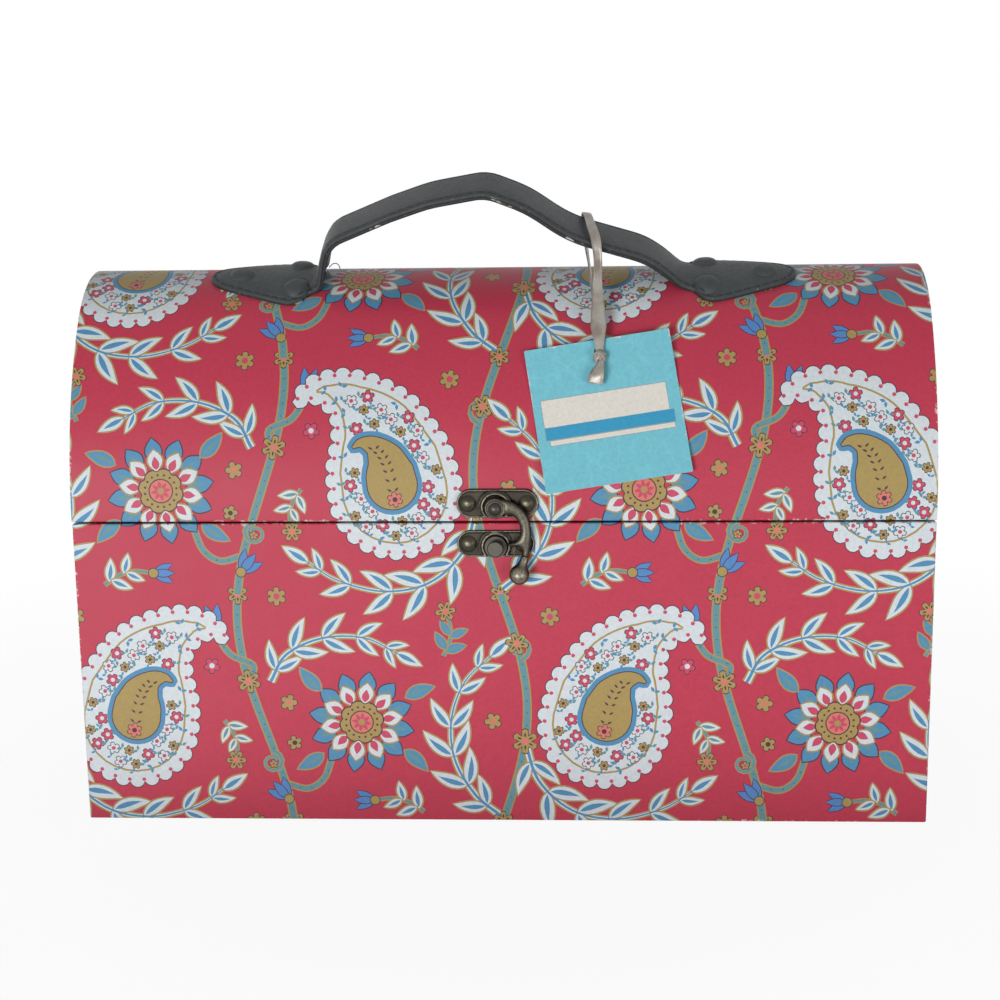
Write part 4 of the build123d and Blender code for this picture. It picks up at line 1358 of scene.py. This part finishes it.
def knot(material):
    """The knot in front of the card and the tail that hangs from it."""
    middle = at_knot(0, 0, 0)
    parts = []
    for wrap in neck_wraps:
        ring = [at_knot(*p) for p in closed_curve(wrap)]
        parts.append(band_ring(ring, middle, 2.2 * MM, 0.5 * MM))
    neck = turned([(0.0, -2.9), (2.4, -2.9), (2.7, -2.6), (2.4, -2.3), (1.5, -2.2), (1.2, 0.2), (1.3, 0.7),
                   (0.9, 1.1), (0.0, 1.2)], 20)
    parts.append(([at_knot(x, y, z) for x, y, z in neck[0]], neck[1]))
    line = [at_knot(*p) for p in curve(tail_line, 6)]
    widths = np.interp(np.linspace(0, 1, len(line)), np.linspace(0, 1, len(tail_widths)), tail_widths) * MM
    across = [Vector((cos(0.6 - 0.5 * k), -sin(0.6 - 0.5 * k), 0.1)) for k in np.linspace(0, 1, len(line))]
    tail = band("tail", line, across, widths, ribbon_thickness * MM)
    parts.append(([v.co.copy() for v in tail.vertices], [tuple(f.vertices) for f in tail.polygons]))
    bpy.data.meshes.remove(tail)
    new_piece("ribbon_tie", join_meshes("ribbon_tie", parts, material), "lid", "ribbon", "ribbon_knot")


def turned(profile, count):
    """A closed form turned round its own axis, from (radius, height) pairs with both ends on the axis."""
    verts = [(0, 0, profile[0][1])]
    for radius, height in profile[1:-1]:
        verts += [(radius * cos(tau * k / count), radius * sin(tau * k / count), height) for k in range(count)]
    verts.append((0, 0, profile[-1][1]))
    last = len(verts) - 1
    faces = [(0, 1 + (k + 1) % count, 1 + k) for k in range(count)]
    for i in range(len(profile) - 3):
        for k in range(count):
            a, b = 1 + i * count + k, 1 + i * count + (k + 1) % count
            faces.append((a, b, b + count, a + count))
    top = 1 + (len(profile) - 3) * count
    faces += [(last, top + k, top + (k + 1) % count) for k in range(count)]
    return verts, faces


tag()
satin_ribbon = satin()
ribbon.data.materials.append(satin_ribbon)
knot(satin_ribbon)
tuple(ribbon_line[0])
sum((b - a).length for a, b in zip(ribbon_line, ribbon_line[1:]))
[tuple(p) for p in ribbon_line]


# Swing latch, in X and Z on the front, with heights out of it
pivot = (-1.3, lid_rim + 5.3)
post = (pivot[0], pivot[1] - 14.05)
plate_size = (28.4, 10.0)
plate_centre = (pivot[0] + 0.7, pivot[1] + 1.2)
keeper_size = (27.0, 9.4)
keeper_centre = (post[0], post[1] + 1.05)
plate_thick = 0.9
plate_rim = 0.3
plate_ring = 4.6
arm_low = 2.5
arm_thick = 1.8
boss_radius = 3.7
boss_low = 1.05
arm_back = [(0.6, 3.65), (6.6, 2.0), (11.0, -2.2), (12.4, -8.0), (11.9, -14.5), (10.6, -20.6)]
arm_belly = [(3.0, -2.2), (6.2, -2.5), (8.5, -6.2), (8.4, -9.8), (7.0, -11.6)]
finger = [(4.1, -13.4), (4.0, -12.5)]
arm_throat = [(8.0, -13.6), (9.2, -15.0), (8.8, -19.0), (7.6, -21.6)]
ball_place = (8.2, -23.1, 4.9)
neck_place = (10.4, -16.6, 3.3)
ball_profile = [
    (0, -3.5), (1.2, -3.3), (2.2, -2.75), (2.95, -1.9), (3.4, -0.85), (3.5, 0.2), (3.3, 1.2), (2.85, 2.05),
    (2.25, 2.75), (1.8, 3.4), (1.55, 4.2), (1.45, 5.2), (1.35, 6.2), (1.0, 6.8), (0, 7.0),
]


def bronze(name, dark, mid, light, raised_from=0.0, raised_to=0.0):
    """Antique bronze: painted shade where its surface turns away from the front, as round its domes; a painted
    highlight where it faces straight out, unless raised parts are given; and burnish on raised parts where hands rub
    it, which also serves as painted highlight.
    """
    made, tree, shader, where = new_material(name)
    blotch = noise(tree, where, 260.0, 5.0, 0.65)
    colour = blended(tree, ranged(tree, blotch, 0.35, 0.65), shaded(mid, 0.75), shaded(mid, 1.2))
    fine = noise(tree, where, 1500.0, 3.0, 0.7)
    # Burnish on the highest parts: real wear, and also a painted highlight on the raised rims, ring, arm and ball.
    if raised_to:
        high = node(tree, "Attribute", {"attribute_name": "high"}).outputs["Fac"]
        worn = sum_of(tree, ranged(tree, high, raised_from, raised_to), ranged(tree, fine, 0.25, 0.6), "MULTIPLY")
        colour = blended(tree, worn, colour, light)
    # Painted shade: the colour goes dark where the surface turns away from the front, as round domes and rolled rims.
    turned_away = node(tree, "TexCoord").outputs["Normal"]
    facing = node(tree, "VectorMath", {"operation": "DOT_PRODUCT"}, _0=turned_away, _1=(0, 1, 0)).outputs["Value"]
    facing = sum_of(tree, facing, 0.0, "ABSOLUTE")
    colour = blended(tree, ranged(tree, facing, 0.8, 0.3), colour, dark)
    # Painted highlight: lighter where the surface faces straight out, as on dome tops.
    if not raised_to:
        colour = blended(tree, ranged(tree, facing, 0.97, 1.0, 0, 0.5), colour, light)
    tree.links.new(colour, shader.inputs["Base Color"])
    tree.links.new(ranged(tree, fine, 0.3, 0.7, 0.3, 0.48), shader.inputs["Roughness"])
    shader.inputs["Metallic"].default_value = 0.9
    bumped(tree, shader, blotch, 0.15, 0.0004)
    return made


def stadium(centre, size, steps=24):
    """A slot-shaped ring round a centre."""
    radius = size[1] / 2
    run = size[0] / 2 - radius
    ring = []
    for side in (1, -1):
        for k in np.linspace(-90, 90, steps):
            a = radians(k if side > 0 else k + 180)
            ring.append((centre[0] + side * run + radius * cos(a), centre[1] + radius * sin(a)))
    return spread_round(np.array(ring), 110)


def skin(z):
    """How far the lid's front lies behind the base's at a height."""
    return side_radius - (side_radius**2 - max(0.0, z - lid_rim) ** 2) ** 0.5


def on_front(x, z, out):
    return Vector((x, -half_depth - out, z))


def circle_at(place, radius, steps=40):
    ring = disc(radius, steps) + np.array(place)
    return np.vstack([ring, ring[:1]])


def latch_plate(name, body, node_name, centre, size, ring_at, material):
    """A stamped plate with a rolled rim, a dished field and a raised ring."""

    def top(x, z, q):
        roll = min(q, 0.35) / 0.35
        height = plate_thick + plate_rim - 0.4 * (1 - (1 - (1 - roll) ** 2) ** 0.5)
        height -= plate_rim * min(1.0, max(0.0, (q - 0.45) / 0.4)) * (1.15 if q < 1.6 else 1.0)
        r = hypot(x - ring_at[0], z - ring_at[1])
        height += 0.42 * np.exp(-(((r - plate_ring) / 0.42) ** 2)) * min(1.0, q / 0.6)
        height -= 0.3 * np.exp(-(((r - plate_ring - 1.15) / 0.4) ** 2)) * min(1.0, q / 0.9)
        return height

    def bottom(x, z, q):
        return -skin(z) if body == "lid" else 0.0

    lines = []
    for radius in (3.9, 4.2, 4.45, 4.65, 4.9, 5.2, 5.5, 5.75, 6.0, 6.4):
        circle = circle_at(ring_at, radius)[:-1]
        inside = from_edge(circle, stadium(centre, size)) > 0.2
        inside &= covers(stadium(centre, size), circle)
        starts = [k for k in range(len(circle)) if inside[k] and not inside[k - 1]]
        if not starts:
            lines.append(circle_at(ring_at, radius))
        for k in starts:
            run = []
            while inside[k % len(circle)]:
                run.append(circle[k % len(circle)])
                k += 1
            if len(run) > 1:
                lines.append(np.array(run))
    insets = [0.08, 0.18, 0.3, 0.45, 0.6, 0.75, 0.95, 1.3, 1.8, 2.6, 3.5]
    form = raised(stadium(centre, size), insets, top, [(0.0, 0.5)], bottom, lines)
    mesh = raised_mesh(name, form, on_front, material)
    new_piece(name, mesh, body, "bronze", node_name)


def latch_arm(material):
    """The cast arm with its stepped boss, its finger and the ball at its end."""
    arc = [(boss_radius * cos(a), boss_radius * sin(a)) for a in np.radians(np.linspace(-42, -275, 40))]
    ring = [*curve(arm_back, 6), *curve(arm_throat[::-1], 5)[1:], *curve(finger, 3),
            *curve(arm_belly[::-1], 6), *arc]
    ring = spread_round(np.array(ring)[::-1], 190)

    def top(x, y, q):
        body = arm_low + 0.55 + 1.25 * (1 - (1 - min(q / 2.0, 1.0)) ** 2) ** 0.5
        r = hypot(x, y)
        if r > boss_radius - 0.05:
            return body
        boss = arm_low + arm_thick - 0.55 * min(1.0, max(0.0, (r - 3.2) / 0.5)) ** 2
        return boss - 0.3 * np.exp(-(((r - 2.75) / 0.25) ** 2))

    def bottom(x, y, q):
        r = hypot(x, y)
        share = min(1.0, max(0.0, (r - boss_radius + 0.3) / 0.3))
        return boss_low + (arm_low - boss_low) * share + 0.4 * (1 - min(q, 0.6) / 0.6) ** 2 * share

    lines = [circle_at((0, 0), r) for r in (1.6, 2.3, 2.5, 2.65, 2.8, 2.95, 3.2, 3.4, 3.55)]
    form = raised(ring, [0.08, 0.2, 0.38, 0.6, 0.9, 1.25, 1.65, 2.1], top, [(0.0, 0.5)], bottom, lines)
    verts, faces, edges = form
    ball, ball_faces = turned(ball_profile, 32)
    centre, neck = Vector(ball_place), Vector(neck_place)
    turn = (neck - centre).to_track_quat("Z", "Y").to_matrix()
    shift = len(verts)
    for point in ball:
        verts.append(tuple(centre + turn @ Vector(point)))
        edges.append(1.0)
    faces += [[k + shift for k in face] for face in ball_faces]
    mesh = raised_mesh("latch_arm_cast", (verts, faces, edges),
                       lambda x, y, out: on_front(pivot[0] + x, pivot[1] + y, out), material)
    new_piece("latch_arm_cast", mesh, "latch_arm", "bronze", "latch_arm")


old_bronze = (srgb(20, 18, 16), srgb(56, 52, 46), srgb(134, 128, 112))
latch_plate("latch_plate_stamped", "lid", "latch_plate", plate_centre, plate_size, pivot,
            bronze("bronze_plate", *old_bronze, 0.9, 1.3))
latch_plate("keeper_plate_stamped", "base", "latch_keeper_plate", keeper_centre, keeper_size, post,
            bronze("bronze_keeper", *old_bronze, 0.95, 1.25))
latch_arm(bronze("bronze_arm", *old_bronze, 3.75, 4.9))


# Materials of the CAD nodes that show as they are
def paper_stock(name, colour, scale=500.0):
    """Plain uncoated paper or board, with flecks and a soft tooth."""
    made, tree, shader, where = new_material(name)
    cloud = noise(tree, where, 60.0, 4.0, 0.6)
    tone = blended(tree, ranged(tree, cloud, 0.3, 0.7), shaded(colour, 0.94), shaded(colour, 1.04))
    fleck = ranged(tree, noise(tree, where, scale, 2.0, 0.6), 0.62, 0.72, 0, 0.5)
    tree.links.new(blended(tree, fleck, tone, shaded(colour, 0.8)), shader.inputs["Base Color"])
    shader.inputs["Roughness"].default_value = 0.85
    bumped(tree, shader, noise(tree, where, scale * 3, 3.0, 0.7), 0.3, 0.0002)
    return made


def dress(material, *names):
    """Give CAD nodes a material through their own slots."""
    for name in names:
        for slot in bpy.data.objects[name].material_slots:
            slot.material = material


dress(paper_stock("plain_board", srgb(150, 138, 120)), "base_bottom_board", "base_front_board",
      "base_back_board", "base_left_board", "base_right_board", "lid_curved_board",
      "lid_left_end_board", "lid_right_end_board")
dress(paper_stock("cream_lining", srgb(228, 222, 208)), "base_lining_paper", "lid_lining_paper")
dress(paper_stock("underside_paper", srgb(206, 200, 188)), "base_bottom_sheet")
dress(bronze("bronze_domes", srgb(20, 19, 16), srgb(66, 63, 52), srgb(150, 144, 122)), "latch_plate_rivets",
      "latch_keeper_rivets", "hinge_lid_rivets", "hinge_base_rivets")
dress(bronze("bronze_post", srgb(20, 19, 17), srgb(66, 64, 59), srgb(92, 89, 82)), "latch_keeper_post",
      "latch_pivot_rivet")
dress(bronze("bronze_hinge", srgb(34, 31, 27), srgb(96, 90, 76), srgb(120, 114, 98)), "hinge_base_leaves",
      "hinge_lid_leaves", "hinge_pins")
dress(bronze("steel_caps", srgb(60, 60, 60), srgb(170, 170, 168), srgb(190, 190, 188)), "handle_rivet_caps")
dress(bronze("dark_rivets", srgb(44, 47, 49), srgb(54, 58, 60), srgb(60, 64, 66)), "handle_rivets")


# Floor and light
def lamp(name, place, size, power, aim=(0, 0, 0.1)):
    """A square soft lamp that points at the box."""
    data = bpy.data.lights.new(name, "AREA")
    data.size = size
    data.energy = power
    made = bpy.data.objects.new(name, data)
    bpy.context.scene.collection.objects.link(made)
    made.location = place
    made.rotation_euler = (Vector(aim) - Vector(place)).to_track_quat("-Z", "Y").to_euler()


def light_scene():
    """Soft lamps low in front and behind, and a world that shows white."""
    lamp("key", (-0.9, -2.1, 0.03), 0.8, 29.5, (0, 0, 0.1))
    lamp("fill", (1.3, -1.8, 0.03), 0.8, 11, (0, 0, 0.1))
    lamp("back_left", (-1.6, 1.2, 0.0), 1.2, 11)
    lamp("back_right", (1.6, 1.2, 0.0), 1.2, 11)
    world = bpy.data.worlds.new("world")
    bpy.context.scene.world = world
    world.use_nodes = True
    tree = world.node_tree
    soft = node(tree, "Background", Color=(1, 1, 1, 1), Strength=0.16)
    white = node(tree, "Background", Color=(1, 1, 1, 1), Strength=1.0)
    rays = node(tree, "LightPath")
    shown = sum_of(tree, rays.outputs["Is Camera Ray"], rays.outputs["Is Glossy Ray"], "MAXIMUM")
    shown = sum_of(tree, shown, rays.outputs["Is Transmission Ray"], "MAXIMUM")
    mix = node(tree, "MixShader", _0=shown, _1=soft.outputs[0], _2=white.outputs[0])
    tree.links.new(mix.outputs[0], tree.nodes["World Output"].inputs["Surface"])


floor_gap = 0.0002


def lay_floor():
    """A pale round floor that fades out into the white around it."""
    reach = 1.6
    ring = [(reach * cos(tau * k / 96), reach * sin(tau * k / 96), 0) for k in range(96)]
    mesh = bpy.data.meshes.new("floor")
    mesh.from_pydata(ring, [], [tuple(range(96))])
    made, tree, shader, where = new_material("floor")
    tree.links.new(blended(tree, noise(tree, where, 6.0), srgb(240, 240, 240), srgb(244, 244, 244)),
                   shader.inputs["Base Color"])
    shader.inputs["Roughness"].default_value = 0.9
    clear = node(tree, "BsdfTransparent")
    rays = node(tree, "LightPath")
    seen = sum_of(tree, rays.outputs["Is Camera Ray"], rays.outputs["Is Glossy Ray"], "MAXIMUM")
    white = node(tree, "Emission", Color=(1, 1, 1, 1), Strength=1.0)
    pale = node(tree, "MixShader", _0=ranged(tree, seen, 0, 1, 0, 0.93), _1=shader.outputs[0],
                _2=white.outputs[0])
    distance = node(tree, "VectorMath", {"operation": "LENGTH"}, _0=where).outputs["Value"]
    below = node(tree, "NewGeometry").outputs["Backfacing"]
    unseen = sum_of(tree, ranged(tree, distance, 0.16, 0.42), below, "MAXIMUM")
    mix = node(tree, "MixShader", _0=unseen, _1=pale.outputs[0],
               _2=clear.outputs[0])
    tree.links.new(mix.outputs[0], tree.nodes["Material Output"].inputs["Surface"])
    mesh.materials.append(made)
    floor = bpy.data.objects.new("floor", mesh)
    floor.location.z = -floor_gap
    bpy.context.scene.collection.objects.link(floor)


light_scene()
lay_floor()
bpy.context.scene.view_settings.view_transform = "Standard"
